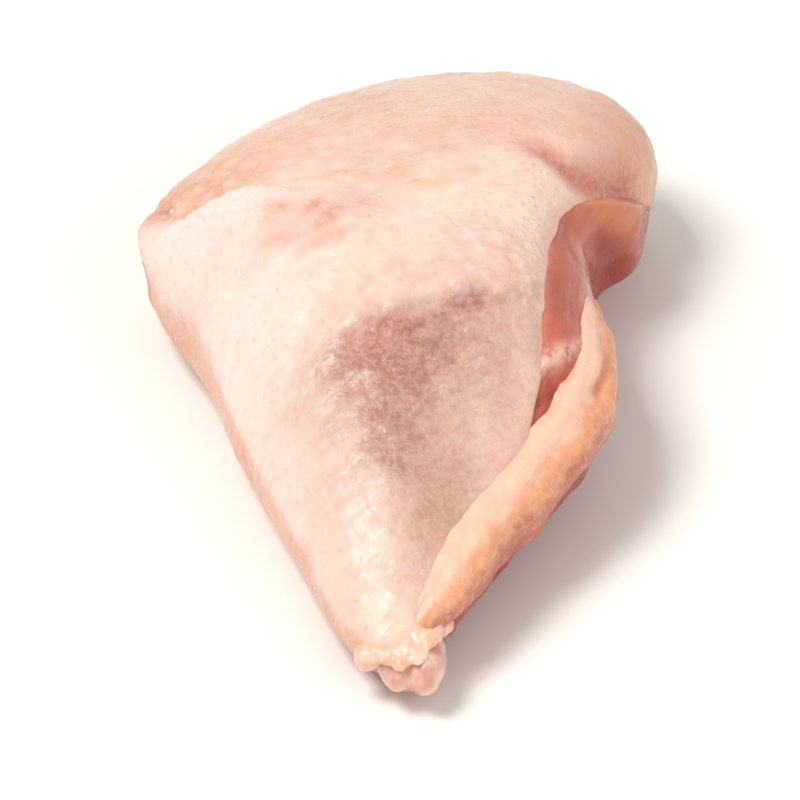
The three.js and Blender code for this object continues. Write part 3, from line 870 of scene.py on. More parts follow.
@dataclass
class Skin:
    """The skin: a sheet over the top, left, back and tip, with folds, wrinkles and follicles.

    Attributes:
        thickness: of the plain sheet.
        clearance: between it and the flesh.
        grid: the outside's cells.
        highest: height that soft wrinkles are held under.
        fold: the loose fold at the left shoulder, which overhangs what lies behind it.
        fold_lead: how far its lip leans back over.
        pinch: the tuck where that fold runs down the flank.
        crease: the dimple behind the lip above the knob.
        lip_pad: the full pad between that crease and the edge.
        hollow: the thin place over the dark meat.
        ledge: the step down into that hollow.
        wrinkles: small ridges along the crest and the shoulder.
        fine: closely set follicles.
        coarse: larger bumps in places.
    """

    thickness: float = 1.9
    clearance: float = 0.35
    grid: OvalGrid = OvalGrid(across=256, along=304)
    highest: float = 37.4
    fold: Line = Line(
        ((-39, 95), (-36.5, 87), (-33, 82), (-29.5, 79.4), (-25, 79.4), (-21, 79.2), (-13, 78)), 2.3, 4.5
    )
    fold_lead: float = 2.0
    pinch: Line = Line(((-34.5, 89), (-38, 94), (-41, 100)), 1.0, 1.5)
    crease: Line = Line(((20, 92.5), (24.7, 90.7), (27.6, 91.5), (30.4, 93.6), (32.9, 96.4), (35.5, 100.5)), 1.4, 2.3)
    lip_pad: Spot = Spot((30, 89.5), (6.5, 3.6), 0.7, 38)
    hollow: Spot = Spot((4, 44), (15, 16), 1.2)
    ledge: Line = Line(((-9, 50.5), (-5.8, 51.8), (-2, 53.8), (3, 56.2), (9.5, 59), (14.5, 62), (20, 66.5)), 1.0, 1.5, 0.2)
    wrinkles: tuple[Line, ...] = (
        Line(((-12, 83.5), (-7, 84), (-2, 82.5), (3.5, 83.1), (12.3, 84.4)), 0.5, 1.4, 0.3),
        Line(((-3, 80.2), (3, 81), (9, 81.2)), 0.35, 1.2, 0.3),
        Line(((-18.5, 71.5), (-13.7, 71.3), (-10.7, 72.9), (-6, 76)), 0.28, 1.6, 0.35),
        Line(((-20, 75), (-15.5, 75.5), (-10, 77.8)), 0.25, 1.5, 0.35),
        Line(((-13.5, 67), (-8.6, 69.3), (-3, 71.8)), 0.2, 1.5, 0.35),
        Line(((-9, 49.5), (-3, 52.2), (3, 54.2)), 0.4, 1.0, 0.35),
        Line(((-8, 44.5), (-2, 48), (5, 50)), 0.4, 1.0, 0.35),
        Line(((4, 49), (9, 52.5), (14, 54)), 0.35, 1.0, 0.35),
    )
    fine: BumpField = BumpField(spacing=2.2, jitter=0.6, seed=11)
    coarse: BumpField = BumpField(spacing=4.2, jitter=0.6, seed=23)

    def edge(self, u: Array) -> Array:
        """Where the skin ends at u, a little uneven."""
        ragged = noise(np.stack([np.cos(2 * np.pi * u), np.sin(2 * np.pi * u), 0 * u], axis=-1), 0.09, 5, 2)
        place = u * len(BODY_SURFACE.rim)
        from_tip = place - len(BODY_SURFACE.rim) * (place > 10)
        under_roll = ease(-0.2, 0.8, from_tip) * (1 - ease(2.6, 3.5, from_tip))
        round_tip = bell(from_tip - 0.35, 0.75)
        return BODY_SURFACE.round(u, "edge") + 0.0035 * ragged + 0.022 * under_roll + 0.05 * round_tip

    def taper(self, u: Array, w: Array) -> Array:
        """How much thinner the sheet gets towards its edge: most over the knob and beside the sliver of flesh."""
        place = u * len(BODY_SURFACE.rim)
        bare = ease(3.2, 4.2, place) * (1 - ease(8.2, 9.4, place))
        lip = ease(5.4, 6.2, place) * bare
        return (0.25 + 0.85 * bare - 0.6 * lip) * bell(self.edge(u) - w, 0.03)

    def folds(self, w: Array, points: Array) -> tuple[Array, Array]:
        """The large relief, and how far the fold's lip is pushed back over what lies behind it."""
        along, side = self.fold.measure(points)
        reach = (1 - ease(0.62, 1.1, along)) * (1 - ease(0.38, 0.52, w))
        rise = ease(-13, 0.4, side)
        fold = self.fold.depth * reach * rise * (1 - ease(0.3, 2.8, side))
        behind = 1.3 * reach * ease(0.6, 3.0, side) * (1 - ease(6, 20, side))
        lean = self.fold_lead * reach * ease(-8, 0.5, side) * (1 - ease(0.0, 5.0, side))
        dents = self.crease.ridge(points) + self.hollow.share(points) + self.pinch.ridge(points) + behind
        pads = self.lip_pad.share(points) + self.ledge.step(points, 15)
        pads = pads + sum(wrinkle.ridge(points, 1.4) for wrinkle in self.wrinkles)
        return fold + pads - dents, lean

    def textured(self, flat: Array, points: Array) -> tuple[Array, dict[str, Array]]:
        """The fine relief: soft waves, furrows in two slanting ways, and follicles.

        A furrow runs where noise crosses zero: its depth falls with the noise's distance from zero.
        """
        waves = 0.26 * noise(points, 9.0, 3, 2) + 0.14 * noise(points, 3.2, 4, 2)
        up_right = np.stack([flat[:, 0] * 0.85 + flat[:, 1] * 0.53, flat[:, 1] * 0.85 - flat[:, 0] * 0.53], -1)
        patch = Spot((4, 46), (16, 19), 1.0).share(points)
        long_ones = np.column_stack([up_right, 0 * flat[:, 0]])
        short_ones = np.column_stack([flat[:, 0] * 0.5 - flat[:, 1] * 0.87, flat[:, 1] * 0.5 + flat[:, 0] * 0.87, 0 * flat[:, 0]])
        first = 1 - np.minimum(1.0, 3.0 * np.abs(noise(long_ones, (7.5, 1.9, 5.0), 7, 2)))
        second = 1 - np.minimum(1.0, 3.2 * np.abs(noise(short_ones, (4.2, 1.9, 5.0), 8, 2)))
        furrow = first * (0.35 + 0.65 * patch) + 0.5 * second * (0.25 + 0.75 * patch)
        away, number = self.fine.nearest(flat)
        bump = (0.45 + 0.55 * number) * bell(away, 0.62)
        away_coarse, number_coarse = self.coarse.nearest(flat)
        coarse_bump = (number_coarse > 0.35) * number_coarse * bell(away_coarse, 1.05)
        pebbled = ease(-0.35, 0.45, noise(points, 22.0, 9)) * (1 - 0.55 * patch)
        relief = waves - 0.2 * furrow + 0.27 * bump * (0.4 + 0.6 * pebbled) + 0.3 * coarse_bump * pebbled
        paint = {
            "follicle": np.clip(bump * (0.4 + 0.6 * pebbled) + coarse_bump * pebbled, 0, 1),
            "pore": number * bell(away, 0.26),
            "furrow": np.clip(furrow, 0, 1),
        }
        return relief, paint

    def colours(self, points: Array, w: Array, u: Array) -> dict[str, Array]:
        """Where the skin is pale, fatty, dark, reddish, greenish or pink, and where painted highlight and painted
        shade fall.
        """
        spots = (
            Spot((2, 49.5), (14, 6), 0.42, 18),
            Spot((-2.5, 37), (7, 11), 0.62, 6),
            Spot((-8, 46), (8, 9), 0.3, 0),
            Spot((12, 56.0), (10, 5), 0.34, 30),
            Spot((13, 45), (11, 12), 0.36, -20),
            Spot((4, 42), (11, 10), 0.26, 0),
            Spot((4, 28), (9, 10), 0.34, -30),
        )
        patch = sum(spot.share(points) for spot in spots)
        crest = sum(wrinkle.ridge(points, 1.4) / wrinkle.depth for wrinkle in self.wrinkles[:2])
        shoulder = sum(wrinkle.ridge(points, 1.4) / wrinkle.depth for wrinkle in self.wrinkles[2:5])
        # painted shadow: a soft dark band just below the ledge's step
        shadow_under_ledge = Line(tuple((x + 0.8, y - 2.0) for x, y in self.ledge.through), 1.0, 1.6, 0.2).ridge(points, 1.0)
        past = self.edge(u) - w
        along, side = self.fold.measure(points)
        from_fold = (1 - ease(0.5, 1.0, along)) * (1 - ease(0.5, 0.6, w))
        # painted shade: the flank behind the fold's lip, turned from the light, is painted orange, ruddier and redder
        behind = from_fold * ease(0.4, 3, side) * (1 - ease(5, 24, side + 3 * noise(points, 8.0, 113)))
        # painted highlight: a bright band along the fold's lip
        lip = from_fold * bell(side + 1.2, 2.0)
        # painted highlight: the front of the left side, where the light falls brightest, is painted nearly white
        left = ease(-2, 26, -points[:, 0]) * (1 - ease(80, 92, points[:, 1])) * (1 - ease(0.46, 0.5, w))
        # the turned-under edge on the left: the orange of its fat, with painted shade of the side
        turned_under = ease(0.44, 0.53, w + 0.028 * noise(points, 6.0, 149, 2)) * (1 - ease(88, 96, points[:, 1])) * (points[:, 0] < 0)
        # painted shade: the steep sides round the rim, apart from the turned-under edge, are painted orange
        shaded_low_side = ease(0.46, 0.56, w) * (1 - turned_under)
        # painted shade: the right side of the dome, turned from the light, is painted orange and redder
        shaded_right_dome = Spot((36, 108), (9, 13), 0.75, -10).share(points)
        beside = Spot((25.5, 66), (4, 14), 0.6).share(points)
        crease = self.crease.ridge(points) / self.crease.depth
        sheen = noise(points, 14.0, 13, 2)
        # painted shade: a dark spot in the notch at the fold's upper end
        notch = Spot((-38.0, 89.0), (2.0, 2.6), 1.0).share(points) * ease(0.4, 0.46, w)
        return {
            # mauve: the dark meat seen through the thin skin, plus painted shadow below the ledge
            "patch": np.clip(patch + 0.25 * beside + 0.35 * shadow_under_ledge, 0, 1) * (1 - ease(0.33, 0.5, w)),
            # reddish: a spot in the dark patch and one near the tip, plus painted shade below the ledge, in the notch
            # and behind the fold
            "ruddy": np.clip(
                Spot((-2.2, 49.6), (4.6, 3.8), 0.42, 20).share(points)
                + 0.18 * shadow_under_ledge
                + 0.2 * Spot((9, 12), (3, 6), 1.0).share(points)
                + notch
                + 0.25 * behind * ease(0.3, 0.45, w),
                0,
                1,
            ),
            # a greenish-brown spot, darker than the skin round it
            "bruise": Spot((5, 23), (3.6, 8), 0.8, -28).share(points) * (0.7 + 0.3 * noise(points, 5.0, 109, 2)),
            # orange: fat along the wrinkles and at the skin's edge, plus painted shade behind the fold, on the right
            # dome and on the steep sides
            "fat": np.clip(
                0.85 * crest
                + 0.6 * shoulder
                + 0.3 * bell(past, 0.02)
                + 0.8 * behind
                + turned_under * (0.62 + 0.3 * noise(points, 9.0, 151, 2))
                + 0.5 * shaded_low_side
                + shaded_right_dome
                + beside
                + 0.4 * Spot((0, 100), (30, 10), 1.0).share(points)
                + Spot((9, 12), (4, 8), 0.35).share(points),
                0,
                1,
            ),
            # paler: a random paler tone and a pale spot on the top, plus painted highlight on the left side, the
            # fold's lip and the pad above the knob
            "pale": np.clip(
                0.95 * left
                + 0.2 * sheen
                + 0.35 * Spot((10, 74), (13, 8), 1).share(points)
                # painted light: the pad above the knob is painted paler
                + 0.9 * Spot((30.5, 90.5), (7.5, 4), 1, 38).share(points)
                + 0.45 * lip,
                0,
                1,
            ),
            # red: pink streaks on the shoulder, plus painted shade in the crease, the tuck, behind the fold, on the
            # right dome and the turned-under edge
            "blush": np.clip(
                0.22 * behind
                # painted shade in the crease behind the lip and in the tuck where the fold runs down the flank
                + 0.8 * crease
                + 0.5 * self.pinch.ridge(points)
                + 0.2 * turned_under
                + 0.35 * shaded_right_dome
                + 0.26 * Spot((-14, 74), (11, 6), 1.0, 15).share(points)
                + 0.25 * shoulder
                + 0.12 * beside
                + 0.08 * ease(0.0, 0.8, sheen),
                0,
                1,
            ),
        }

    def outside(self) -> tuple[Array, dict[str, Array]]:
        """The outer sheet's points and their paint."""
        u, reach = self.grid.places()
        w = self.edge(u) * reach
        base = BODY_SURFACE.point(u, w)
        facing = BODY_SURFACE.normal(u, w)
        fade = ease(0.0, 0.05, self.edge(u) - w)
        relief, lean = self.folds(w, base)
        backwards = np.array([0.15, 1.0, 0.0])
        back = unit(backwards - facing * (facing @ backwards)[:, None])
        off = self.clearance + self.thickness - self.taper(u, w) + relief * fade
        large = base + facing * off[:, None] + back * (lean * fade)[:, None]
        fine, paint = self.textured(BODY_SURFACE.unrolled(u, w), base)
        paint.update(self.colours(base, w, u))
        points = large + self.grid.normals(large) * (fine * (0.3 + 0.7 * fade))[:, None]
        over = np.maximum(points[:, 2] - self.highest, 0.0)
        points[:, 2] -= over - 0.7 * np.tanh(over / 0.7)
        return points, paint

    def form(self) -> Form:
        """The closed sheet: its outside, a rounded edge and a coarser inside."""
        front, paint = self.outside()
        border = self.grid.border()
        u = self.grid.places()[0][border]
        w = self.edge(u)
        base, facing, down = BODY_SURFACE.point(u, w), BODY_SURFACE.normal(u, w), BODY_SURFACE.down(u, w)
        top = front[border]
        bottom = base + facing * self.clearance
        middle, half = (top + bottom) / 2, (top - bottom) / 2
        out = np.linalg.norm(half, axis=-1, keepdims=True) * down
        angles = np.pi * np.arange(1, 8) / 8
        rings = [middle + half * math.cos(a) + out * math.sin(a) for a in angles]
        inner = OvalGrid(self.grid.across // 4, self.grid.along // 4)
        u_in, reach = inner.places()
        w_in = self.edge(u_in) * reach
        inside = BODY_SURFACE.point(u_in, w_in) + BODY_SURFACE.normal(u_in, w_in) * self.clearance
        made = shell(self.grid, front, rings, inner, inside)
        extra = len(made.points) - len(front)
        made.paint = {name: np.concatenate([values, np.zeros(extra)]) for name, values in paint.items()}
        rim = slice(len(front), len(front) + len(rings) * len(border))
        for name in ("patch", "pale", "blush", "fat"):
            made.paint[name][rim] = np.tile(paint[name][border], len(rings))
        return made

    def build(self, material: bpy.types.Material) -> bpy.types.Object:
        """Adds the skin in place of its solid."""
        return add_piece("skin_sheet", self.form(), material, ["thigh_skin"])


@dataclass
class Flesh:
    """The meat: a knob and a sliver that show at the right, and the whole underside with its muscles.

    Attributes:
        grid: the bare side's cells.
        swell: how far it stands proud where no skin presses on it.
        knob: the rounded end above the notch.
        notch: the deep crease between the sliver and the knob.
        cords: pale membrane ridges beside and across the sliver.
        hip_hollow: where the hip joint shows in the underside.
        seams: the grooves between muscles.
        tucked: how far it is finely made under the skin's edge, in terms of w.
    """

    skin: Skin
    grid: OvalGrid = OvalGrid(across=232, along=276)
    swell: float = 1.3
    knob: Spot = Spot((34, 95), (9, 7.5), 3.3, -20)
    notch: Line = Line(((29, 68), (30, 76), (31, 83), (34, 87)), 1.5, 1.3, 0.3)
    cords: tuple[Line, ...] = (
        Line(((26.6, 81), (27.4, 74), (28, 66), (27.6, 58)), 0.7, 1.0, 0.15),
        Line(((20, 49.5), (23.5, 53.5), (28.5, 59.5)), 0.8, 1.2, 0.25),
    )
    hip_hollow: Spot = Spot((5, 88), (12, 10), 5.2)
    seams: tuple[Line, ...] = (
        Line(((-15, 22), (-19, 42), (-23, 62), (-21, 84), (-12, 104)), 2.0, 2.2, 0.2),
        Line(((8, 20), (14, 36), (19, 54), (18, 72)), 1.8, 2.1, 0.25),
        Line(((-14, 105), (-2, 101), (9, 103), (25, 108)), 1.6, 2.3, 0.2),
        Line(((-3, 16), (-8, 34), (-8, 52), (-3, 70)), 0.9, 1.6, 0.25),
        Line(((24, 86), (18, 94), (15, 104)), 1.0, 1.8, 0.25),
    )
    tucked: float = 0.05

    def relief(self, u: Array, w: Array, points: Array) -> Array:
        """How far the flesh stands off the body surface."""
        bare = ease(-0.022, 0.014, w - self.skin.edge(u))
        upper = 1 - ease(0.5, 0.62, w)
        knob = self.knob.share(points) * upper - self.notch.ridge(points) * upper
        knob = knob + sum(cord.ridge(points) for cord in self.cords) * upper
        swell = self.swell * (1 - ease(0.56, 0.66, w))
        under = ease(0.58, 0.7, w)
        grooves = np.max([seam.ridge(points, 2.2) for seam in self.seams], axis=0)
        return bare * (swell + knob) - under * np.maximum(grooves, self.hip_hollow.share(points))

    def grain(self, points: Array, w: Array) -> Array:
        """Coordinates across, along and through the fibres: they fan out from the knee end, and turn over the knob."""
        fan = np.arctan2(points[:, 0], points[:, 1] + 45.0)
        wander = 0.02 * noise(points, 18.0, 41)
        across = (fan + wander) * 110.0
        along = np.hypot(points[:, 0], points[:, 1] + 45.0)
        return np.stack([across, along / 9.0, points[:, 2] * 0.8], axis=-1)

    def colours(self, points: Array, w: Array, u: Array) -> dict[str, Array]:
        """Where the meat is veiled or warm, painted deep red as shade in hollows, or painted lighter as a sheen on the
        sliver.
        """
        under = ease(0.58, 0.7, w)
        upper = 1 - ease(0.46, 0.58, w)
        seams = np.max([seam.ridge(points, 2.2) / seam.depth for seam in self.seams], axis=0) * under
        cords = np.max([cord.ridge(points) / cord.depth for cord in self.cords], axis=0) * upper
        hollow = self.hip_hollow.share(points) / self.hip_hollow.strength * under
        past = w - self.skin.edge(u)
        knob_top = Spot((32, 92), (9, 7), 1.0).share(points) * (1 - ease(0.03, 0.16, past))
        return {
            "sinew": np.clip(0.62 * seams + cords + 0.2 * bell(past, 0.02), 0, 1),
            # painted shade: the hip hollow, the notch between sliver and knob, and the knob's underside are painted
            # deep red
            "deep": np.clip(
                0.5 * hollow
                + 0.9 * self.notch.ridge(points) / self.notch.depth * upper
                + Spot((32.5, 90), (11, 11), 0.85).share(points) * ease(0.04, 0.2, past) * (1 - ease(0.54, 0.62, w)),
                0,
                1,
            ),
            # painted sheen: the sliver is painted lighter along its middle
            "light": 0.5 * Spot((25, 72), (5, 16), 1.0).share(points) * (1 - ease(0.42, 0.5, w)),
            "warm": knob_top,
        }

    def bare_side(self) -> tuple[Array, dict[str, Array]]:
        """The finely made side, from the middle of the underside up to a little under the skin."""
        u, reach = self.grid.places()
        w = 1 - reach * (1 - self.skin.edge(u) + self.tucked)
        base, facing = BODY_SURFACE.point(u, w), BODY_SURFACE.normal(u, w)
        large = base + facing * self.relief(u, w, base)[:, None]
        grain = self.grain(base, w)
        bare = ease(0.0, 0.05, w - self.skin.edge(u))
        bundles = 0.34 * noise(grain * [0.32, 0.5, 0.25], 1.0, 43, 2) + 0.13 * noise(grain, 1.0, 47, 2)
        lumps = 0.45 * noise(base, 8.0, 53, 2)
        off = bare * (bundles + lumps * (1 - 0.5 * ease(0.6, 0.8, w)))
        pressed = ease(1.2, 3.5, base[:, 2])
        moved = large - self.grid.normals(large) * (off * (0.35 + 0.65 * pressed))[:, None]
        least = 0.04 + 0.12 * np.abs(noise(grain, 1.0, 59)) * (base[:, 2] < 1.5)
        moved[:, 2] = np.maximum(moved[:, 2], least)
        paint = self.colours(base, w, u)
        paint.update({"grain_across": grain[:, 0], "grain_along": grain[:, 1], "grain_up": grain[:, 2]})
        return moved, paint

    def form(self) -> Form:
        """The closed flesh: its bare side, and a coarse top that the skin hides."""
        bare, paint = self.bare_side()
        inner = OvalGrid(self.grid.across // 4, self.grid.along // 4)
        u, reach = inner.places()
        w = (self.skin.edge(u) - self.tucked) * reach
        made = shell(self.grid, bare, [], inner, BODY_SURFACE.point(u, w)).turned()
        extra = len(made.points) - len(bare)
        made.paint = {name: np.concatenate([values, np.zeros(extra)]) for name, values in paint.items()}
        return made

    def build(self, material: bpy.types.Material) -> bpy.types.Object:
        """Adds the flesh in place of its solid."""
        return add_piece("bare_flesh", self.form(), material, ["thigh_meat"])


@dataclass(frozen=True)
class RollPoint:
    """A station of the rolled edge: place counts the rim's points, inner and outer are w, high is its thickness."""

    place: float
    inner: float
    outer: float
    high: float


@dataclass
class RolledEdge:
    """The rolled, fatty edge of the skin along the right front.

    Attributes:
        stations: from the notch to the tip.
        lift: how far its middle line stands off the body surface.
        reach: how much wider it is, so that it lies against the skin's edge and the flank.
        steps: rings along it.
        sides: points round a ring.
    """

    stations: tuple[RollPoint, ...] = (
        RollPoint(5.7, 0.4, 0.43, 0.8),
        RollPoint(5.4, 0.385, 0.46, 1.8),
        RollPoint(5, 0.365, 0.48, 3),
        RollPoint(4.4, 0.35, 0.49, 4.1),
        RollPoint(3.7, 0.342, 0.495, 4.6),
        RollPoint(2.9, 0.338, 0.497, 4.6),
        RollPoint(2.1, 0.333, 0.495, 4.3),
        RollPoint(1.4, 0.328, 0.485, 3.7),
        RollPoint(0.8, 0.33, 0.462, 2.5),
        RollPoint(0.3, 0.375, 0.44, 1.2),
    )
    lift: float = 0.8
    reach: float = 1.2
    steps: int = 300
    sides: int = 120

    def form(self) -> Form:
        """A tube along the flank: across runs down the flank, and up stands off it."""
        last = len(self.stations) - 1
        turn = np.pi * (np.arange(self.steps) + 0.5) / self.steps
        place = last * (1 - np.cos(turn)) / 2
        table = np.array([[s.place, s.inner, s.outer, s.high] for s in self.stations])
        at = spline(table, place, closed=False)
        u = at[:, 0] / len(BODY_SURFACE.rim)
        middle = (at[:, 1] + at[:, 2]) / 2
        span = BODY_SURFACE.point(u, at[:, 2]) - BODY_SURFACE.point(u, at[:, 1])
        up = BODY_SURFACE.normal(u, middle)
        across = -unit(span - up * np.sum(span * up, axis=-1, keepdims=True))
        centre = BODY_SURFACE.point(u, middle) + up * self.lift
        wide = np.linalg.norm(span, axis=-1) / 2
        ends = np.minimum(1.0, np.sqrt(np.sin(turn)) * 1.25)
        angle = 2 * np.pi * np.arange(self.sides) / self.sides
        across_share = np.cos(angle)[None, :]
        up_share = np.sin(angle)[None, :]
        groove = (0.05 + 0.07 * bell(place / last - 0.3, 0.25))[:, None]
        thinned = 0.35 * ease(0.3, 1.0, -across_share)
        high = at[:, 3][:, None] * (1 - groove * bell(across_share - 0.5, 0.22) * (up_share > 0) - thinned)
        rings = (
            centre[:, None]
            + across[:, None] * ((wide * ends)[:, None] * across_share * self.reach)[..., None]
            + up[:, None] * (high * ends[:, None] * up_share)[..., None]
        )
        made = tube(rings, centre[0], centre[-1])
        spread = np.repeat(place / last, self.sides)
        side = np.tile((1 - np.cos(angle)) / 2, self.steps)
        length = spread * 78.0
        flat = np.stack([np.tile(angle, self.steps) * 4.6, length], axis=-1)
        drawn = np.stack([flat[:, 0], flat[:, 1], 0 * length], axis=-1)
        away, number = BumpField(2.1, 0.55, 61).nearest(flat)
        relief = 0.4 * noise(drawn, (3.2, 9.0, 5.0), 67, 2) + 0.16 * (0.4 + 0.6 * number) * bell(away, 0.6)
        relief = relief + 0.5 * noise(made.points[1:-1], 6.0, 71, 2)
        relief = np.concatenate([[0.0], relief * np.repeat(ends, self.sides), [0.0]])
        made.points = made.points + made.normals() * relief[:, None]
        upper_part = ease(0.05, 0.2, spread) * (1 - ease(0.4, 0.6, spread))
        ragged = ease(-0.2, 0.6, noise(drawn, (1.6, 5.0, 5.0), 73, 2))
        # painted shade: the groove along the upper part of the roll is painted red
        blush = 0.55 * bell(side - 0.24, 0.1) * upper_part * ragged
        # the outer side is painted redder: its own pink, with painted shade of the side turned from the light
        outer = 0.5 * ease(0.78, 1.0, side)
        made.paint = {
            "across": np.concatenate([[0.5], side + 0.3 * (0.5 - spread), [0.3]]),
            "blush": np.concatenate([[0.0], np.clip(blush + outer, 0, 1), [0.0]]),
        }
        return made

    def build(self, material: bpy.types.Material) -> bpy.types.Object:
        """Adds the roll in place of its solid."""
        return add_piece("rolled_skin_edge", self.form(), material, ["skin_roll"])


def ball(at: Sequence[float], size: Sequence[float], steps: int = 40, sides: int = 64) -> Form:
    """An ellipsoid as a closed tube of rings from front to back."""
    turn = np.pi * (np.arange(steps) + 0.5) / steps
    angle = 2 * np.pi * np.arange(sides) / sides
    rings = np.stack(
        [
            np.sin(turn)[:, None] * np.cos(angle)[None, :],
            -np.cos(turn)[:, None] * np.ones(sides)[None, :],
            -np.sin(turn)[:, None] * np.sin(angle)[None, :],
        ],
        axis=-1,
    )
    middle, half = np.array(at, float), np.array(size, float)
    ends = np.array([0.0, 1.0, 0.0])
    return tube(rings * half + middle, middle - ends * half, middle + ends * half)


def fused(form: Form, voxel: float, smoothing: int) -> Form:
    """Overlapping closed forms as one skin: voxel remesh, then smoothing by a modifier.

    Args:
        form: the forms, joined but not merged, in millimetres.
        voxel: the remesh cell in millimetres.
        smoothing: how often the result is smoothed.
    """
    mesh = bpy.data.meshes.new("fusing")
    mesh.from_pydata(form.points * MILLIMETRE, [], [*form.quads.tolist(), *form.triangles.tolist()])
    work = bpy.data.objects.new("fusing", mesh)
    bpy.context.scene.collection.objects.link(work)
    remesh = work.modifiers.new("fuse", "REMESH")
    remesh.mode = "VOXEL"
    remesh.voxel_size = voxel * MILLIMETRE
    soften = work.modifiers.new("soften", "SMOOTH")
    soften.factor = 0.5
    soften.iterations = smoothing
    made = work.evaluated_get(bpy.context.evaluated_depsgraph_get()).to_mesh()
    points = np.zeros(len(made.vertices) * 3, np.float32)
    made.vertices.foreach_get("co", points)
    corners = np.zeros(len(made.loops), np.int32)
    made.loops.foreach_get("vertex_index", corners)
    totals = np.zeros(len(made.polygons), np.int32)
    made.polygons.foreach_get("loop_total", totals)
    starts = np.zeros(len(made.polygons), np.int32)
    made.polygons.foreach_get("loop_start", starts)
    quads = corners[starts[totals == 4][:, None] + np.arange(4)]
    triangles = corners[starts[totals == 3][:, None] + np.arange(3)]
    work.evaluated_get(bpy.context.evaluated_depsgraph_get()).to_mesh_clear()
    bpy.data.objects.remove(work)
    bpy.data.meshes.remove(mesh)
    return Form(points.reshape(-1, 3).astype(float) / MILLIMETRE, quads.astype(int), triangles.astype(int))


@dataclass(frozen=True)
class BoneStation:
    """A station of the bone's shaft: its middle and its radius."""

    at: tuple[float, float, float]
    radius: float


@dataclass
class Bone:
    """The thigh bone: a slim shaft, two knuckles at the knee, and a ball and a ridge at the hip.

    Attributes:
        axis: the shaft from the knee to the hip.
        knuckles: middles and half sizes of the rounded ends.
    """

    axis: tuple[BoneStation, ...] = (
        BoneStation((1.2, 8, 6.8), 3.8),
        BoneStation((0.8, 16, 7.8), 4.1),
        BoneStation((0.4, 30, 9.0), 3.8),
        BoneStation((1.6, 50, 9.6), 3.7),
        BoneStation((4.0, 68, 9.4), 4.0),
        BoneStation((6.4, 80, 8.6), 4.5),
        BoneStation((7.4, 90, 8.0), 4.2),
    )
    knuckles: tuple[tuple[tuple[float, float, float], tuple[float, float, float]], ...] = (
        ((-0.2, 6.6, 6.1), (3.0, 6.6, 4.0)),
        ((3.4, 6.2, 6.3), (3.1, 6.8, 4.2)),
        ((1.6, 6.2, 6.4), (3.0, 5.9, 4.0)),
        ((2.2, 87, 6.9), (5.8, 5.6, 5.7)),
        ((11.0, 86, 8.2), (4.8, 6.0, 5.4)),
    )

    def shaft(self) -> Form:
        """A tube along the axis with round ends."""
        steps, sides = 90, 48
        last = len(self.axis) - 1
        turn = np.pi * (np.arange(steps) + 0.5) / steps
        place = last * (1 - np.cos(turn)) / 2
        at = spline(np.array([[*s.at, s.radius] for s in self.axis]), place, closed=False)
        ahead = unit(np.gradient(at[:, :3], axis=0))
        across = unit(np.cross(ahead, [0.0, 0.0, 1.0]))
        up = np.cross(across, ahead)
        ends = np.minimum(1.0, np.sqrt(np.sin(turn)) * 1.25)
        angle = 2 * np.pi * np.arange(sides) / sides
        radius = (at[:, 3] * ends)[:, None, None]
        round_it = across[:, None] * np.cos(angle)[None, :, None] + up[:, None] * np.sin(angle)[None, :, None]
        return tube(at[:, None, :3] + radius * round_it, at[0, :3], at[-1, :3])

    def form(self) -> Form:
        """The shaft and knuckles fused, with a fine unevenness."""
        made = fused(joined([self.shaft(), *(ball(*knuckle) for knuckle in self.knuckles)]), 0.42, 6)
        relief = 0.3 * noise(made.points, 2.6, 83, 2) + 0.35 * noise(made.points, 6.0, 89)
        made.points = made.points + made.normals() * relief[:, None]
        y, x = made.points[:, 1], made.points[:, 0]
        neck = ease(7.0, 12.0, y)
        ball_face = bell(np.linalg.norm(made.points - np.array([2.2, 87, 1.2]), axis=-1), 5.5)
        made.paint = {"blood": np.clip(0.75 * neck + 0.8 * bell(x - 1.4, 1.0) * ease(2.0, 5.0, y) - ball_face, 0, 1)}
        return made

    def build(self, material: bpy.types.Material) -> bpy.types.Object:
        """Adds the bone in place of its solid."""
        return add_piece("leg_bone", self.form(), material, ["thigh_bone"])


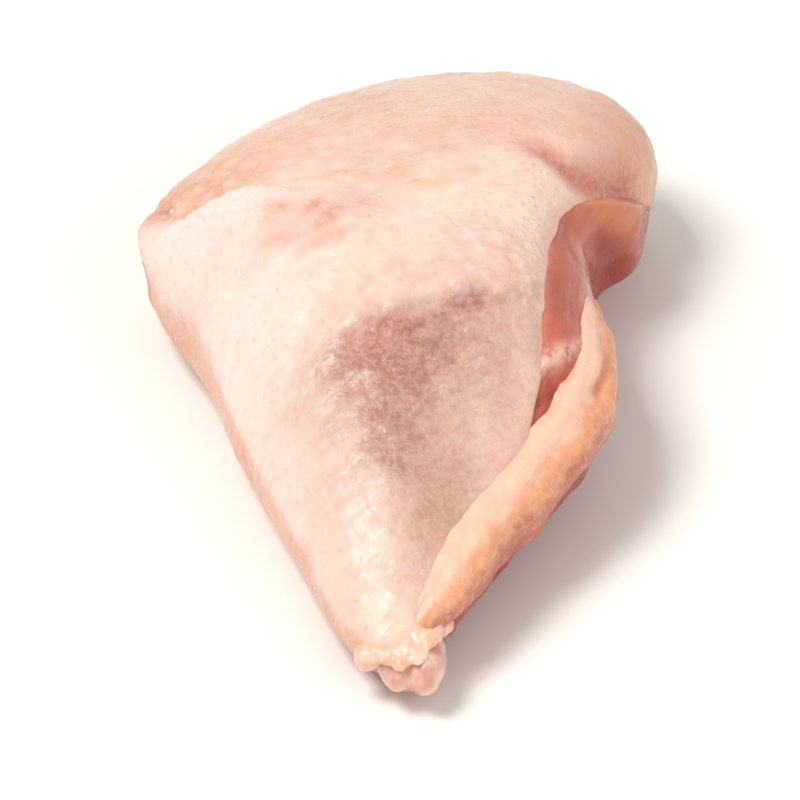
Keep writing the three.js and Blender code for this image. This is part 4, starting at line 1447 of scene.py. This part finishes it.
@dataclass
class Fat:
    """Pale lobules of fat: a collar round the bone's neck, and clusters by the skin's edge underneath.

    Attributes:
        collar: middles and half sizes of the lobules round the neck.
        trails: lines of places along the rim where clusters sit, as first and last place, w and count.
    """

    collar: tuple[tuple[tuple[float, float, float], tuple[float, float, float]], ...] = (
        ((-4.6, 5.4, 7.6), (2.2, 2.6, 2.2)),
        ((-3.2, 5.0, 8.7), (1.9, 2.3, 1.7)),
        ((-1.6, 4.2, 9.2), (2.2, 2.3, 1.3)),
        ((0.2, 3.0, 9.2), (1.9, 2.6, 1.2)),
        ((1.4, 4.6, 10.2), (2.4, 2.4, 1.2)),
        ((2.7, 4.0, 9.6), (1.7, 3.2, 1.0)),
        ((3.4, 6.5, 10.7), (2.6, 2.8, 1.2)),
        ((5.0, 8.6, 10.4), (2.0, 3.2, 1.5)),
        ((2.6, 8.4, 12.0), (1.3, 2.6, 0.8)),
        ((4.2, 10.8, 12.3), (0.9, 2.8, 0.8)),
        ((6.6, 11.2, 9.4), (1.4, 3.0, 1.8)),
    )
    trails: tuple[tuple[float, float, float, int], ...] = (
        (14.6, 16.8, 0.668, 15),
        (9.0, 10.6, 0.58, 9),
        (12.0, 13.2, 0.672, 9),
    )

    def lobules(self) -> list[Form]:
        """All of the lobules as ellipsoids: the collar's, and those laid along the trails with uneven sizes."""
        made = [ball(at, size, 16, 24) for at, size in self.collar]
        for number, (first, last, w, count) in enumerate(self.trails):
            share = (np.arange(count) + 0.5) / count
            cells = np.stack([np.arange(count), np.full(count, number)], axis=-1)
            size = 0.8 + 0.9 * scattered(cells, 131)
            sway = 0.012 * (scattered(cells, 137) - 0.5)
            u = (first + (last - first) * share) / len(BODY_SURFACE.rim)
            places = BODY_SURFACE.point(u, w + sway) + BODY_SURFACE.normal(u, w + sway) * 0.5
            places[:, 2] = np.maximum(places[:, 2], size * 0.75 + 0.3)
            made += [ball(place, (1.5 * s, 1.7 * s, 0.75 * s), 14, 20) for place, s in zip(places, size)]
        return made

    def build(self, material: bpy.types.Material) -> bpy.types.Object:
        """Adds the fat as one fused piece."""
        made = fused(joined(self.lobules()), 0.3, 9)
        made.points = made.points + made.normals() * (0.3 * noise(made.points, 1.5, 139, 3))[:, None]
        return add_piece("fat_lobules", made, material)


# The stage


class Backing(Enum):
    """What the camera sees round the thigh, as a colour."""

    FLOOR = srgb(246, 244, 240)
    AIR = srgb(250, 249, 247)


@dataclass
class Studio:
    """A pale floor, soft light from the upper left, and a camera that looks down as the photograph's does.

    Attributes:
        elevation: how steeply the camera looks down, in degrees.
        distance: from the camera to the thigh, in metres.
        view_width: what the frame takes in at the thigh, in metres.
    """

    elevation: float = 39.0
    distance: float = 1.2
    view_width: float = 0.122

    def floor(self) -> None:
        """A wide plain floor under the thigh."""
        reach = 3.0
        mesh = bpy.data.meshes.new("floor")
        mesh.from_pydata([(-reach, -reach, 0), (reach, -reach, 0), (reach, reach, 0), (-reach, reach, 0)], [], [(0, 1, 2, 3)])
        floor = bpy.data.objects.new("floor", mesh)
        bpy.context.scene.collection.objects.link(floor)
        sheet = Sheet("pale_floor")
        sheet.set(Base_Color=Backing.FLOOR.value, Roughness=0.7, Specular_IOR_Level=0.2)
        mesh.materials.append(sheet.material)

    def light(self, name: str, at: Sequence[float], size: float, power: float, tint: Sequence[float]) -> None:
        """Adds a square light that faces the thigh."""
        lamp = bpy.data.lights.new(name, "AREA")
        lamp.size = size
        lamp.energy = power
        lamp.color = tint
        holder = bpy.data.objects.new(name, lamp)
        holder.location = at
        holder.rotation_euler = (Vector((0, 0, 0.015)) - Vector(at)).to_track_quat("-Z", "Y").to_euler()
        bpy.context.scene.collection.objects.link(holder)

    def camera(self) -> None:
        """The camera, aimed at the middle of the thigh as it is seen."""
        data = bpy.data.cameras.new("camera")
        data.sensor_width = 36.0
        data.lens = data.sensor_width * self.distance / self.view_width
        data.clip_start = 0.05
        data.clip_end = 20.0
        holder = bpy.data.objects.new("camera", data)
        down = math.radians(self.elevation)
        target = Vector((0.0, 0.0, 0.0075))
        back = Vector((0.0, -math.cos(down), math.sin(down)))
        holder.location = target + back * self.distance
        holder.rotation_euler = (-back).to_track_quat("-Z", "Y").to_euler()
        bpy.context.scene.collection.objects.link(holder)
        bpy.context.scene.camera = holder

    def build(self) -> None:
        """Sets the whole stage."""
        world = bpy.data.worlds.new("studio")
        world.use_nodes = True
        world.node_tree.nodes["Background"].inputs["Color"].default_value = Backing.AIR.value
        world.node_tree.nodes["Background"].inputs["Strength"].default_value = 0.55
        bpy.context.scene.world = world
        bpy.context.scene.view_settings.view_transform = "Standard"
        self.floor()
        self.light("key", (-0.45, -0.15, 0.95), 0.4, 8.0, (1.0, 0.99, 0.975))
        self.light("fill", (0.7, -0.6, 0.5), 0.8, 3.0, (0.98, 0.99, 1.0))
        self.camera()


def main() -> None:
    """Builds the stage and each piece in order."""
    logging.basicConfig(level=logging.INFO, format="%(message)s")
    Studio().build()
    skin = Skin()
    skin.build(SkinFinish().build())
    Flesh(skin).build(FleshFinish().build())
    RolledEdge().build(FattySkinFinish().build())
    Bone().build(BoneFinish().build())
    Fat().build(FatFinish().build())


if __name__ == "__main__":
    main()
